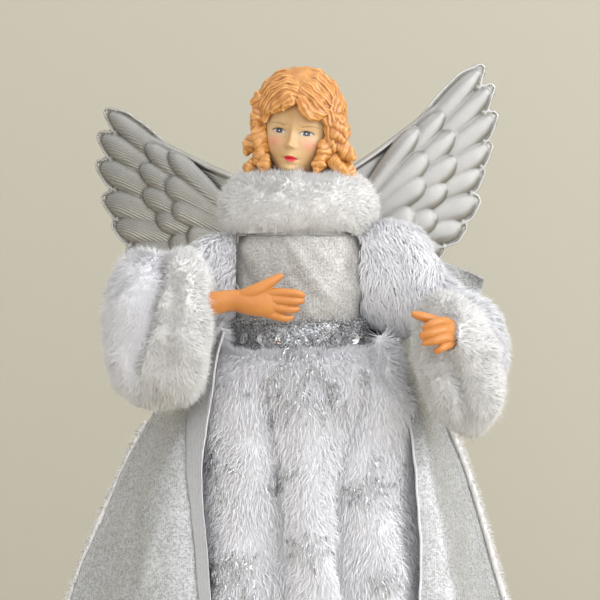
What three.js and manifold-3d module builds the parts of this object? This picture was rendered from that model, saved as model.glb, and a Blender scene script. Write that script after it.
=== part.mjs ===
// An angel tree topper: a dressed doll with feathered wings, a moulded head and hands,
// and a hollow cone under the skirt that drops over the tip of a tree.
// Millimetres. +Z is up, +X is to the right of a person who faces the angel, and the angel faces -Y.
// The origin is on the ground, in the middle of the hem.

import * as THREE from "three";
import { mergeVertices } from "three/addons/utils/BufferGeometryUtils.js";
import Module from "manifold-3d";

const wasm = await Module();
wasm.setup();

// Driving dimensions
const gap = 0.3; // between pieces that touch or are sewn together
const runningGap = 0.3; // round a pin or a wire that a piece turns on
const overrunLength = 4; // how far a cutter runs past what it cuts
const cutterSize = 200; // a block that cuts away everything on one side
const slightestHeight = 0.02; // steps smaller than this are smoothed away after a cut

const coneHeight = 214;
const coneFootRadius = 62;
const coneTopRadius = 20;
const coneWall = 2;
const footFlangeWidth = 4;

const torsoHeight = 107.7;
const torsoHalfWidth = 31.5;
const torsoDepthShare = 0.8;
const neckRadius = 11;
const plugLength = 12;
const shoulderDrop = 26; // from the top of the neck to the line of the shoulders
const waistRise = 26; // from the top of the cone to the bottom of the belt

const bodiceThickness = 3;
const bodicePuffDepth = 0.8;
const bodiceFrontDepth = 1.3;
const bodiceTuckDepth = 4; // how far the bodice runs down behind the skirt's gathers
const bodiceDrop = 18.5; // from the top of the neck to the top of the bodice
const beltHeight = 17;
const beltThickness = 2.4;
const sequinRadius = 3.2;
const sequinThickness = 1;
const sequinCount = 7;
const sequinPitch = 10;
const sequinDrop = 1.5; // below the middle of the belt

const hemHeight = 3;
const skirtThickness = 4;
const skirtGatherDepth = 4.4; // how far the gathered waist of the skirt stands out from the bodice
const skirtHemHalfWidth = 99;
const skirtHemFrontDepth = 88;
const skirtHemBackDepth = 78;
const skirtFolds = 10;
const skirtFoldDepth = 5;

const coatThickness = 1.6;
const coatColumns = 28;
const coatRows = 11;
const coatFoldDepth = 3;
const coatHalfWidth = 130;
const coatFrontDepth = 93;
const coatBackDepth = 86;
const coatDrop = 20.5; // from the top of the neck to the top of the cape
const trimRadius = 2.8;
const trimLength = 197;
const flounceRootTopDrop = 5; // these four are below the line of the shoulders
const flounceRootBottomDrop = 40;
const flounceTipTopDrop = 16;
const flounceTipBottomDrop = 31;
const leftFlounceReachLength = 92;
const rightFlounceReachLength = 103;

const collarHalfWidth = 43;
const collarHalfDepth = 32.2;
const collarHeight = 35;
const collarSegments = 26;
const collarTubeSides = 10;
const collarTubeWidth = 27;
const collarDrop = 19; // from the top of the neck to the bottom of the collar
const collarNeckClearance = 3.5; // round the neck

const wireRadius = 1.5;
const shoulderWireHalfLength = 46;
const sleeveStart = 38;
const armLength = 100;
const cuffLength = 32;
const leftCuffHalfDepth = 27;
const leftCuffHalfHeight = 43.5;
const rightCuffHalfWidth = 28;
const rightCuffHalfHeight = 39;
const bellHalfLength = 15.5;
const bellInsetWidth = 2; // how much smaller the mouth of the sleeve is than its cuff
const handLength = 51.5;
const fingerRadius = 2.2;
const forearmRadius = 6;

const pegRadius = 4;
const pegLowerLength = 19;
const pegUpperLength = 26;
const pegCollarRadius = 7;
const pegCollarHeight = 2;
const pegCollarRise = 1.5; // above the top of the neck
const headPivotDrop = 4; // below the top of the neck
const headOffset = 4; // towards the left
const headTilt = 8; // degrees
const headTurn = -11;
const headHeight = 74; // above the pivot, as are the other heights of the head
const headHalfWidth = 17.5;
const headFrontDepth = 20.6;
const headBackDepth = 21.6;
const hairHeight = 77.8;
const hairHalfWidth = 25.2;
const hairFrontDepth = 25.6;
const hairBackDepth = 26.8;
const curlSize = 5.5;
const rightCurlLift = 4.5;

const wingLength = 138;
const wingHingeOffset = 14;
const wingHingeRise = 1; // above the line of the shoulders
const wingHingeLength = 50;
const wingStandoffDepth = 6; // from the back of the plate to the middle of the post
const wingPlateThickness = 2.6;
const wingPlateMarginWidth = 4; // past the middle of each post
const wingPostRadius = 1.2;
const wingPostEndLength = 1; // how far a post stands out of its lugs
const wingSleeveRadius = 2.8;
const wingSheetThickness = 1.8;
const featherThickness = 5;
const lugHeight = 4;
const lugWidth = 6;
const leftWingRaise = -12.5; // degrees
const leftWingSweep = 28;
const rightWingRaise = 0;
const rightWingSweep = 10;

// Places that follow from them
const torsoBottom = coneHeight + gap;
const torsoTop = torsoBottom + torsoHeight;
const shoulderHeight = torsoTop - shoulderDrop;
const waistHeight = coneHeight + waistRise;
const waistHalfWidth = torsoHalfWidth * 1.02 + gap + bodiceThickness + bodicePuffDepth;
const waistHalfDepth = waistHalfWidth * torsoDepthShare + bodiceFrontDepth;
const headPivot = new THREE.Vector3(-headOffset, 0, torsoTop - headPivotDrop);

// Finishes
const orangeVinyl = new THREE.MeshStandardMaterial({ color: 0xf0a860, roughness: 0.45 });
const facePaint = new THREE.MeshStandardMaterial({ color: 0xe8cfa0, roughness: 0.5 });
const whitePlush = new THREE.MeshStandardMaterial({ color: 0xf2f2ee, roughness: 1 });
const longFur = new THREE.MeshStandardMaterial({ color: 0xe6e6ec, roughness: 1 });
const silverLame = new THREE.MeshStandardMaterial({ color: 0xc9cacb, roughness: 0.45, metalness: 0.55 });
const wingFoil = new THREE.MeshStandardMaterial({ color: 0xb9b8b2, roughness: 0.35, metalness: 0.75 });
const lurexBraid = new THREE.MeshStandardMaterial({ color: 0x8f9193, roughness: 0.35, metalness: 0.8 });
const mirrorSequin = new THREE.MeshStandardMaterial({ color: 0xe4e6ea, roughness: 0.1, metalness: 1 });
const greyCard = new THREE.MeshStandardMaterial({ color: 0xcfc8ba, roughness: 0.9 });
const whiteFoam = new THREE.MeshStandardMaterial({ color: 0xf4f4f2, roughness: 0.95 });
const galvanisedWire = new THREE.MeshStandardMaterial({ color: 0x9b9fa3, roughness: 0.4, metalness: 1 });
const palePine = new THREE.MeshStandardMaterial({ color: 0xd9b98a, roughness: 0.8 });

// Geometry tools

const degrees = THREE.MathUtils.degToRad;
const { lerp, clamp } = THREE.MathUtils;
const acrossX = new THREE.Vector3(1, 0, 0);
const acrossY = new THREE.Vector3(0, 1, 0);
const upZ = new THREE.Vector3(0, 0, 1);

// The volume inside a geometry's faces, negative where they point inwards.
function signedVolume(geometry) {
  const place = geometry.getAttribute("position");
  const index = geometry.index;
  const a = new THREE.Vector3();
  const b = new THREE.Vector3();
  const c = new THREE.Vector3();
  let sum = 0;
  for (let i = 0; i < index.count; i += 3) {
    a.fromBufferAttribute(place, index.getX(i));
    b.fromBufferAttribute(place, index.getX(i + 1));
    c.fromBufferAttribute(place, index.getX(i + 2));
    sum += a.dot(b.cross(c));
  }
  return sum;
}

// A geometry from points and corner numbers, with its faces turned outwards.
function closedGeometry(points, corners) {
  const geometry = new THREE.BufferGeometry();
  const numbers = points.flatMap((p) => [p.x, p.y, p.z]);
  geometry.setAttribute("position", new THREE.Float32BufferAttribute(numbers, 3));
  geometry.setIndex(corners);
  if (signedVolume(geometry) < 0) {
    for (let i = 0; i < corners.length; i += 3) {
      [corners[i + 1], corners[i + 2]] = [corners[i + 2], corners[i + 1]];
    }
    geometry.setIndex(corners);
  }
  geometry.computeVertexNormals();
  return geometry;
}

// A skin stretched over rings of points. The ends are closed by fans, unless the rings run round a loop.
function skinOver(rings, loops = false) {
  const sides = rings[0].length;
  const points = rings.flat();
  const corners = [];
  const bands = loops ? rings.length : rings.length - 1;
  for (let r = 0; r < bands; r += 1) {
    const low = r * sides;
    const high = ((r + 1) % rings.length) * sides;
    for (let s = 0; s < sides; s += 1) {
      const t = (s + 1) % sides;
      corners.push(low + s, low + t, high + t, low + s, high + t, high + s);
    }
  }
  if (!loops) {
    [rings[0], rings[rings.length - 1]].forEach((ring, end) => {
      const middle = new THREE.Vector3();
      ring.forEach((p) => middle.add(p));
      points.push(middle.divideScalar(sides));
      const first = end === 0 ? 0 : (rings.length - 1) * sides;
      for (let s = 0; s < sides; s += 1) {
        const t = (s + 1) % sides;
        const fan = [points.length - 1, first + t, first + s];
        corners.push(...(end === 0 ? fan : [fan[0], fan[2], fan[1]]));
      }
    });
  }
  return closedGeometry(points, corners);
}

// Cloth of even thickness: middle(u, v) is the surface half way through it, for u and v from 0 to 1.
function clothOf(middle, across, down, thickness, goesRound = false) {
  const step = 1e-3;
  const columns = goesRound ? across : across + 1;
  const sides = [[], []];
  for (let j = 0; j <= down; j += 1) {
    for (let i = 0; i < columns; i += 1) {
      const u = i / across;
      const v = j / down;
      const u0 = goesRound ? u - step : Math.max(0, u - step);
      const u1 = goesRound ? u + step : Math.min(1, u + step);
      const alongU = middle(u1, v).sub(middle(u0, v));
      const alongV = middle(u, Math.min(1, v + step)).sub(middle(u, Math.max(0, v - step)));
      const normal = alongU.cross(alongV).normalize().multiplyScalar(thickness / 2);
      sides[0].push(middle(u, v).add(normal));
      sides[1].push(middle(u, v).sub(normal));
    }
  }
  const back = sides[0].length;
  const corners = [];
  const quad = (a, b, c, d) => corners.push(a, b, c, a, c, d);
  const at = (i, j) => j * columns + (i % columns);
  for (let j = 0; j < down; j += 1) {
    for (let i = 0; i < across; i += 1) {
      quad(at(i, j), at(i + 1, j), at(i + 1, j + 1), at(i, j + 1));
      quad(back + at(i, j), back + at(i, j + 1), back + at(i + 1, j + 1), back + at(i + 1, j));
    }
    if (!goesRound) {
      quad(at(0, j), at(0, j + 1), back + at(0, j + 1), back + at(0, j));
      quad(at(across, j), back + at(across, j), back + at(across, j + 1), at(across, j + 1));
    }
  }
  for (let i = 0; i < across; i += 1) {
    quad(at(i, 0), back + at(i, 0), back + at(i + 1, 0), at(i + 1, 0));
    quad(at(i, down), at(i + 1, down), back + at(i + 1, down), back + at(i, down));
  }
  return closedGeometry(sides.flat(), corners);
}

// A solid of revolution about Z, from [radius, height] pairs that start and end on the axis or close up.
function turned(profile, segments) {
  const points = profile.map(([r, z]) => new THREE.Vector2(r, z));
  return new THREE.LatheGeometry(points, segments).rotateX(Math.PI / 2);
}

// A round bar along a smooth curve through points.
function bar(points, radius, steps, sides) {
  const section = new THREE.Shape();
  for (let s = 0; s < sides; s += 1) {
    const a = (s / sides) * 2 * Math.PI;
    const [x, y] = [radius * Math.cos(a), radius * Math.sin(a)];
    if (s === 0) section.moveTo(x, y);
    else section.lineTo(x, y);
  }
  section.closePath();
  const path = new THREE.CatmullRomCurve3(points);
  return new THREE.ExtrudeGeometry(section, { steps, bevelEnabled: false, extrudePath: path });
}

// A round cutter along Z that clears a pin of the given radius on every side.
function clearHole(radius, length, sides = 12) {
  const corner = radius / Math.cos(Math.PI / sides);
  return new THREE.CylinderGeometry(corner, corner, length, sides).rotateX(Math.PI / 2);
}

// Rings round a bent limb. Each station has a centre, a half width along `side` and a half height along `up`.
function limb(stations, side, up, sides, endShare = 0.5) {
  const ring = (centre, width, height) =>
    Array.from({ length: sides }, (_, s) => {
      const a = (s / sides) * 2 * Math.PI;
      return centre
        .clone()
        .addScaledVector(side, width * Math.cos(a))
        .addScaledVector(up, height * Math.sin(a));
    });
  const rings = stations.map(([x, y, z, width, height]) => ring(new THREE.Vector3(x, y, z), width, height));
  if (endShare > 0) {
    const [x, y, z, width, height] = stations[stations.length - 1];
    const [px, py, pz] = stations[stations.length - 2];
    const ahead = new THREE.Vector3(x - px, y - py, z - pz).normalize().multiplyScalar(height * endShare);
    rings.push(ring(new THREE.Vector3(x, y, z).add(ahead), width * endShare, height * endShare));
  }
  return skinOver(rings);
}

// An egg of given half sizes.
function egg(centre, half, wide = 12, high = 8) {
  return new THREE.SphereGeometry(1, wide, high).scale(...half).translate(...centre);
}

// Solids that can be joined and cut.
function solidOf(geometry) {
  const bare = geometry.clone();
  bare.deleteAttribute("normal");
  bare.deleteAttribute("uv");
  const merged = mergeVertices(bare, 1e-3);
  return new wasm.Manifold(
    new wasm.Mesh({
      numProp: 3,
      vertProperties: merged.getAttribute("position").array,
      triVerts: new Uint32Array(merged.index.array),
    }),
  );
}

function geometryOf(solid) {
  const mesh = solid.simplify(slightestHeight).getMesh();
  const geometry = new THREE.BufferGeometry();
  geometry.setAttribute("position", new THREE.BufferAttribute(new Float32Array(mesh.vertProperties), 3));
  geometry.setIndex(new THREE.BufferAttribute(new Uint32Array(mesh.triVerts), 1));
  geometry.computeVertexNormals();
  return geometry;
}

// The first geometry with the others joined to it.
function joined(first, ...others) {
  return geometryOf(others.reduce((sum, other) => sum.add(solidOf(other)), solidOf(first)));
}

// The first geometry with the others cut from it.
function cut(first, ...cutters) {
  return geometryOf(cutters.reduce((rest, cutter) => rest.subtract(solidOf(cutter)), solidOf(first)));
}

function piece(name, geometry, material) {
  const mesh = new THREE.Mesh(geometry, material);
  mesh.name = name;
  return mesh;
}

// Reads a table, whose rows are led by a falling number, smoothly at any number between its ends.
function readTable(table, where) {
  const last = table.length - 1;
  const z = clamp(where, table[last][0], table[0][0]);
  const low = Math.max(1, table.findIndex((row) => row[0] <= z));
  const [above, below] = [table[low - 1], table[low]];
  const span = above[0] - below[0];
  const t = (above[0] - z) / span;
  const before = table[Math.max(0, low - 2)];
  const after = table[Math.min(last, low + 1)];
  return above.slice(1).map((value, i) => {
    const k = i + 1;
    const slopeAbove = (below[k] - before[k]) / (before[0] - below[0]);
    const slopeBelow = (after[k] - value) / (above[0] - after[0]);
    const [t2, t3] = [t * t, t * t * t];
    return (
      (2 * t3 - 3 * t2 + 1) * value +
      (t3 - 2 * t2 + t) * span * slopeAbove +
      (3 * t2 - 2 * t3) * below[k] +
      (t3 - t2) * span * slopeBelow
    );
  });
}

// Rows of shares, each column times its own size.
function sized(rows, ...sizes) {
  return rows.map((row) => row.map((share, i) => share * sizes[i % sizes.length]));
}

// Core: a hollow card cone, a foam torso that plugs into its top, and a wooden neck peg

function baseCone() {
  const footInside = coneFootRadius - coneWall - footFlangeWidth;
  const profile = [
    [coneFootRadius, 0],
    [coneTopRadius, coneHeight],
    [coneTopRadius - coneWall, coneHeight],
    [footInside + footFlangeWidth / 2, coneWall + footFlangeWidth],
    [footInside, coneWall],
    [footInside, 0],
    [coneFootRadius, 0],
  ];
  return piece("base_cone", turned(profile, 28), greyCard);
}

// Height as a share of the torso's height, and half width as a share of the torso's half width.
const torsoShares = [
  [0, 0.94],
  [0.3, 0.99],
  [0.55, 1.02],
  [0.74, 1],
  [0.83, 0.9],
  [0.89, 0.66],
];

function torsoRadius(z) {
  const share = (z - torsoBottom) / torsoHeight;
  const row = torsoShares.findIndex(([at]) => at >= share);
  if (row <= 0) return torsoHalfWidth * torsoShares[row < 0 ? torsoShares.length - 1 : 0][1];
  const [a, b] = [torsoShares[row - 1], torsoShares[row]];
  return torsoHalfWidth * lerp(a[1], b[1], (share - a[0]) / (b[0] - a[0]));
}

// The torso's outline from its bottom edge to its neck, grown by a clearance.
function torsoOutline(grow) {
  return [
    ...torsoShares.map(([at, share]) => [torsoHalfWidth * share + grow, torsoBottom + at * torsoHeight + grow]),
    [neckRadius + grow, torsoTop - neckRadius / 2 + grow],
  ];
}

function torsoForm() {
  const plugRadius = coneTopRadius - coneWall - 2 * gap;
  const profile = [
    [0, torsoBottom - plugLength],
    [plugRadius - plugLength * ((coneFootRadius - coneTopRadius) / coneHeight), torsoBottom - plugLength],
    [plugRadius, torsoBottom],
    ...torsoOutline(0),
    [neckRadius, torsoTop],
    [0, torsoTop],
  ];
  const form = turned(profile, 24).scale(1, torsoDepthShare, 1);
  const wireHole = clearHole(wireRadius + gap, 3 * torsoHalfWidth, 8)
    .rotateY(Math.PI / 2)
    .translate(0, 0, shoulderHeight);
  const pegHole = clearHole(pegRadius + runningGap, 2 * pegLowerLength)
    .rotateY(degrees(headTilt))
    .translate(headPivot.x, headPivot.y, headPivot.z);
  return piece("torso_form", cut(form, wireHole, pegHole), whiteFoam);
}

// The peg leans with the head. Its collar rests on the torso and carries the head.
function neckPeg() {
  const collarLow = headPivotDrop + pegCollarRise;
  const profile = [
    [0, gap - pegLowerLength],
    [pegRadius, gap - pegLowerLength],
    [pegRadius, collarLow],
    [pegCollarRadius, collarLow],
    [pegCollarRadius, collarLow + pegCollarHeight],
    [pegRadius, collarLow + pegCollarHeight],
    [pegRadius, pegUpperLength],
    [0, pegUpperLength],
  ];
  const peg = piece("neck_peg", turned(profile, 14), palePine);
  peg.position.copy(headPivot);
  peg.rotation.y = degrees(headTilt);
  return peg;
}

function shoulderWire() {
  const rod = new THREE.CylinderGeometry(wireRadius, wireRadius, 2 * shoulderWireHalfLength, 10);
  const wire = piece("shoulder_wire", rod.rotateZ(Math.PI / 2), galvanisedWire);
  wire.position.z = shoulderHeight;
  return wire;
}

// Bodice, belt and collar

const bandSides = 30;

// A loop of points on an ellipse round Z.
function oval(halfWidth, halfDepth, z) {
  return Array.from({ length: bandSides }, (_, s) => {
    const a = (s / bandSides) * 2 * Math.PI;
    return new THREE.Vector3(halfWidth * Math.sin(a), -halfDepth * Math.cos(a), z);
  });
}

// An oval band, from rows of height, inner half width and half depth, and outer half width and half depth.
function ovalBand(rows) {
  const inner = rows.map(([z, inX, inY]) => oval(inX, inY, z));
  const outer = rows.map(([z, , , outX, outY]) => oval(outX, outY, z)).reverse();
  return skinOver([...inner, ...outer], true);
}

const bodiceLow = waistHeight - bodiceTuckDepth;
const bodiceHigh = torsoTop - bodiceDrop;
const bodiceHeightShares = [0, 0.31, 0.6, 0.86, 1];

function bodice() {
  const rows = bodiceHeightShares.map((share) => {
    const z = lerp(bodiceLow, bodiceHigh, share);
    const inside = torsoRadius(z);
    const outer = inside + gap + bodiceThickness + (share > 0 && share < 1 ? bodicePuffDepth : 0);
    const [inX, inY] = [inside + 2 * gap, inside * torsoDepthShare + 2 * gap];
    return [z, inX, inY, outer, outer * torsoDepthShare + bodiceFrontDepth];
  });
  const hole = clearHole(wireRadius + gap, 4 * torsoHalfWidth, 8)
    .rotateY(Math.PI / 2)
    .translate(0, 0, shoulderHeight);
  return piece("bodice", cut(ovalBand(rows), hole), silverLame);
}

const beltMiddle = waistHeight + beltHeight / 2;
const beltBulgeShares = [
  [-1, 0.6],
  [-0.6, 1],
  [0.6, 1],
  [1, 0.6],
];

function beltBraid() {
  const inX = waistHalfWidth + gap;
  const inY = waistHalfDepth + gap;
  const rows = beltBulgeShares.map(([rise, bulge]) => [
    beltMiddle + (rise * beltHeight) / 2,
    inX,
    inY,
    inX + bulge * beltThickness,
    inY + bulge * beltThickness,
  ]);
  return piece("belt_braid", ovalBand(rows), lurexBraid);
}

// Sequins lie in a row across the front of the belt.
function beltSequins() {
  const front = waistHalfDepth + beltThickness + 2 * gap + sequinThickness / 2;
  const side = waistHalfWidth + beltThickness + 2 * gap + sequinThickness / 2;
  return Array.from({ length: sequinCount }, (_, i) => {
    const x = (i - (sequinCount - 1) / 2) * sequinPitch;
    const a = Math.asin(x / side);
    const disc = new THREE.CylinderGeometry(sequinRadius, sequinRadius, sequinThickness, 12);
    const sequin = piece(`belt_sequin_${i + 1}`, disc, mirrorSequin);
    sequin.position.set(x, -front * Math.cos(a), beltMiddle - sequinDrop);
    sequin.rotation.z = Math.atan2(front * Math.sin(a), side * Math.cos(a));
    return sequin;
  });
}

// A ring of plush: an egg-shaped section, swept round an oval.
function plushRing(halfX, halfY, tubeWidth, tubeHeight, around, sides) {
  const rings = Array.from({ length: around }, (_, i) => {
    const a = (i / around) * 2 * Math.PI;
    const out = new THREE.Vector3(Math.sin(a), -Math.cos(a), 0);
    const centre = new THREE.Vector3((halfX - tubeWidth / 2) * out.x, (halfY - tubeWidth / 2) * out.y, 0);
    return Array.from({ length: sides }, (_, s) => {
      const b = (s / sides) * 2 * Math.PI;
      return centre
        .clone()
        .addScaledVector(out, (tubeWidth * Math.cos(b)) / 2)
        .addScaledVector(upZ, (tubeHeight * Math.sin(b)) / 2);
    });
  });
  return skinOver(rings, true);
}

function collar() {
  const ring = plushRing(
    collarHalfWidth,
    collarHalfDepth,
    collarTubeWidth,
    collarHeight,
    collarSegments,
    collarTubeSides,
  );
  ring.translate(0, 0, torsoTop - collarDrop + collarHeight / 2);
  const bodiceEdge = torsoRadius(bodiceHigh) + bodiceThickness + 3 * gap;
  const shoulders = torsoOutline(gap).filter(([, z]) => z > bodiceHigh + gap);
  const profile = [
    [0, waistHeight],
    [bodiceEdge, waistHeight],
    [bodiceEdge, bodiceHigh + gap],
    ...shoulders,
    [0, torsoTop - neckRadius / 2 + gap],
  ];
  const under = turned(profile, bandSides).scale(1, torsoDepthShare * 1.05, 1);
  const hole = clearHole(neckRadius + collarNeckClearance, 4 * collarHeight, 18).translate(0, 0, torsoTop);
  return piece("collar", cut(ring, under, hole), whitePlush);
}

// Skirt: long fur cloth, gathered at the waist, in even folds to the hem

// Height as a share of the waist's, then how far the half width, the front and the back
// have spread from the waist's size to the hem's.
const skirtShares = [
  [1, 0, 0, 0],
  [0.994, 0.002, 0.002, 0.002],
  [0.975, 0.126, 0.109, 0.054],
  [0.933, 0.195, 0.194, 0.123],
  [0.796, 0.298, 0.306, 0.238],
  [0.625, 0.469, 0.475, 0.423],
  [0.429, 0.674, 0.644, 0.631],
  [0.208, 0.863, 0.85, 0.838],
  [0, 1, 1, 1],
];
const foldTurn = 5; // degrees

// The skirt's outside radius in the direction `a`, which is 0 at the front and grows towards +X.
function skirtRadius(a, z) {
  const [wide, front, back] = readTable(skirtShares, z / waistHeight);
  const halfX = lerp(waistHalfWidth + skirtGatherDepth, skirtHemHalfWidth, wide);
  const deep = Math.cos(a) > 0 ? [skirtHemFrontDepth, front] : [skirtHemBackDepth, back];
  const halfY = lerp(waistHalfDepth + skirtGatherDepth, ...deep);
  const plain = 1 / Math.hypot(Math.sin(a) / halfX, Math.cos(a) / halfY);
  const hang = clamp(1 - z / waistHeight, 0, 1);
  const depth = skirtFoldDepth * Math.min(1, 2.2 * hang);
  return plain + depth * (Math.cos(skirtFolds * (a - degrees(foldTurn))) - 0.4);
}

function skirt() {
  const middle = (u, v) => {
    const a = u * 2 * Math.PI;
    const z = lerp(waistHeight - 2.2 * gap, hemHeight, v ** 1.25);
    const r = skirtRadius(a, z) - skirtThickness / 2;
    return new THREE.Vector3(r * Math.sin(a), -r * Math.cos(a), z);
  };
  return piece("skirt", clothOf(middle, 6 * skirtFolds, 7, skirtThickness, true), longFur);
}

// Coat: a back cape and two front panels of silver cloth

// The radius in the direction `a` of what the coat lies on: the bodice, the belt or the skirt.
function dressRadius(a, z) {
  if (z <= waistHeight) return skirtRadius(a, z);
  const ellipse = (halfX, halfY) => 1 / Math.hypot(Math.sin(a) / halfX, Math.cos(a) / halfY);
  const onBelt = z < waistHeight + beltHeight + coatThickness ? beltThickness + gap : 0;
  const dress = ellipse(waistHalfWidth + onBelt, waistHalfDepth + onBelt);
  const fade = Math.min(1, (z - waistHeight) / (1.25 * beltHeight));
  return Math.max(dress, lerp(skirtRadius(a, waistHeight), dress, fade));
}

// Pushes a point out until it clears the dress.
function clearOfDress(point) {
  const a = Math.atan2(point.x, -point.y);
  const r = Math.hypot(point.x, point.y);
  const slack = point.z < waistHeight + beltHeight ? coatThickness / 2 : 0;
  const least = dressRadius(a, point.z) + coatThickness / 2 + gap + slack;
  if (r < least) {
    point.x *= least / r;
    point.y *= least / r;
  }
  return point;
}

// A point on the smooth line through [x, y] pairs, at share u of its way.
function along(pairs, u) {
  return new THREE.SplineCurve(pairs.map(([x, y]) => new THREE.Vector2(x, y))).getPoint(u);
}

const capeTop = torsoTop - coatDrop;

// Height as a share of the cape's, then x and y of the left edge, the left back, the middle back,
// the right back and the right edge, as shares of the coat's half width and of its depth at the back.
const capeShares = [
  [1, -0.231, 0.221, -0.123, 0.314, 0, 0.349, 0.123, 0.314, 0.231, 0.221],
  [0.942, -0.277, 0.233, -0.154, 0.314, 0, 0.349, 0.154, 0.314, 0.277, 0.233],
  [0.896, -0.323, 0.221, -0.2, 0.314, 0, 0.349, 0.2, 0.314, 0.338, 0.221],
  [0.833, -0.4, 0.198, -0.262, 0.349, 0, 0.384, 0.262, 0.349, 0.438, 0.209],
  [0.713, -0.569, 0.093, -0.385, 0.488, 0, 0.581, 0.385, 0.488, 0.554, 0.151],
  [0.577, -0.723, 0.023, -0.492, 0.605, 0, 0.709, 0.492, 0.605, 0.677, 0.093],
  [0.342, -0.931, -0.116, -0.662, 0.791, 0, 0.895, 0.646, 0.791, 0.823, 0],
  [0.166, -0.977, -0.186, -0.723, 0.872, 0, 0.965, 0.723, 0.872, 0.931, -0.07],
  [0, -0.992, -0.209, -0.746, 0.907, 0, 1, 0.746, 0.907, 0.992, -0.116],
];
const capePlaces = sized(capeShares.map((row) => row.slice(1)), coatHalfWidth, coatBackDepth);
const capeTable = capePlaces.map((row, i) => [capeShares[i][0], ...row]);

function capePoint(u, v) {
  const z = lerp(capeTop, hemHeight, v);
  const row = readTable(capeTable, z / capeTop);
  const p = along([0, 2, 4, 6, 8].map((i) => [row[i], row[i + 1]]), u);
  const wave = coatFoldDepth * clamp(2 * (v - 0.2), 0, 1) * Math.cos(10 * Math.PI * u);
  const out = new THREE.Vector2(p.x, p.y).normalize();
  return clearOfDress(new THREE.Vector3(p.x + wave * out.x, p.y + wave * out.y, z));
}

function coatBack() {
  return piece("coat_back", clothOf(capePoint, coatColumns, coatRows, coatThickness), silverLame);
}

// A place just past the side edge of the cape, where another piece of cloth is sewn on.
function seamPoint(side, z) {
  const v = (capeTop - z) / (capeTop - hemHeight);
  const edge = side < 0 ? 0 : 1;
  const place = capePoint(edge, v);
  const ahead = place.clone().sub(capePoint(edge - side * 0.03, v)).normalize();
  return place.addScaledVector(ahead, coatThickness / 2 + 3 * gap);
}

// A front panel. Each row is its height as a share of the cape's, then x and y of its front edge and of
// its middle, as shares of the coat's half width and of its depth at the front.
function frontPanel(name, side, shares, across) {
  const places = sized(shares.map((row) => row.slice(1)), coatHalfWidth, coatFrontDepth);
  const table = places.map((row, i) => [shares[i][0], ...row]);
  const middle = (u, v) => {
    const z = lerp(shares[0][0] * capeTop, hemHeight, v);
    const [fx, fy, mx, my] = readTable(table, z / capeTop);
    const seam = seamPoint(side, z);
    const p = along([[fx, fy], [mx, my], [seam.x, seam.y]], u);
    const wave = coatFoldDepth * Math.min(1, 2 * v) * Math.sin(2 * Math.PI * u);
    const out = new THREE.Vector2(p.x, p.y).normalize();
    return clearOfDress(new THREE.Vector3(p.x + wave * out.x, p.y + wave * out.y, z));
  };
  return piece(name, clothOf(middle, across, 9, coatThickness), silverLame);
}

const leftPanelShares = [
  [0.833, -0.312, -0.237, -0.331, -0.151],
  [0.779, -0.346, -0.312, -0.408, -0.194],
  [0.736, -0.358, -0.366, -0.446, -0.215],
  [0.577, -0.4, -0.495, -0.577, -0.43],
  [0.342, -0.354, -0.731, -0.646, -0.667],
  [0.166, -0.354, -0.914, -0.692, -0.817],
  [0, -0.354, -1, -0.708, -0.903],
];

const rightPanelShares = [
  [0.819, 0.415, -0.151, 0.438, -0.022],
  [0.713, 0.446, -0.258, 0.5, -0.129],
  [0.577, 0.485, -0.387, 0.585, -0.258],
  [0.342, 0.492, -0.602, 0.669, -0.473],
  [0.166, 0.462, -0.753, 0.754, -0.624],
  [0, 0.446, -0.903, 0.8, -0.753],
];

// Fur piping sewn over a side seam of the coat, on the side that `lean` points to.
function seamTrim(name, side, lean) {
  const steps = 14;
  const away = new THREE.Vector3(...lean).normalize();
  const points = Array.from({ length: steps + 1 }, (_, i) => {
    const z = hemHeight + trimLength * (1 - i / steps);
    return seamPoint(side, z).addScaledVector(away, trimRadius + coatThickness / 2);
  });
  return piece(name, bar(points, trimRadius, 16, 6), whitePlush);
}

// A flounce of coat cloth that stands out behind each upper arm, sewn to the cape's edge.
function coatFlounce(name, side, reach) {
  const middle = (u, v) => {
    const start = seamPoint(side, shoulderHeight - lerp(flounceRootTopDrop, flounceRootBottomDrop, v));
    const x = lerp(start.x + 2 * side * gap, side * reach * (1 - 0.04 * v * v), u);
    const tip = shoulderHeight - lerp(flounceTipTopDrop, flounceTipBottomDrop, v);
    const z = lerp(start.z, tip, u) - 1.4 * coatFoldDepth * Math.sin(Math.PI * u) * v;
    const roll = Math.sin(Math.PI * u) * Math.cos(Math.PI * (u + v));
    return new THREE.Vector3(x, start.y + 0.7 * coatFoldDepth * (u + roll), z);
  };
  return piece(name, clothOf(middle, 8, 4, coatThickness), silverLame);
}

// Head and hair, made about the neck pivot with the face towards -Y

// Height, half width, depth in front of the middle and depth behind it, as shares of the head's own.
const headShares = [
  [1, 0.075, 0.073, 0.069],
  [0.981, 0.4, 0.388, 0.37],
  [0.932, 0.675, 0.631, 0.648],
  [0.851, 0.88, 0.85, 0.88],
  [0.757, 0.97, 0.951, 0.981],
  [0.649, 1, 0.99, 1],
  [0.541, 0.98, 1, 0.954],
  [0.446, 0.88, 0.99, 0.87],
  [0.365, 0.74, 0.951, 0.759],
  [0.297, 0.58, 0.854, 0.648],
  [0.257, 0.53, 0.61, 0.556],
  [0.203, 0.5, 0.437, 0.463],
  [0.108, 0.52, 0.408, 0.435],
];
const headRingShares = [
  0.108, 0.189, 0.243, 0.27, 0.311, 0.351, 0.385, 0.419, 0.453, 0.486, 0.534, 0.581, 0.635, 0.71, 0.8, 0.88, 0.94,
  0.981, 1,
];
const headSides = 26; // corners round each ring

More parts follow.
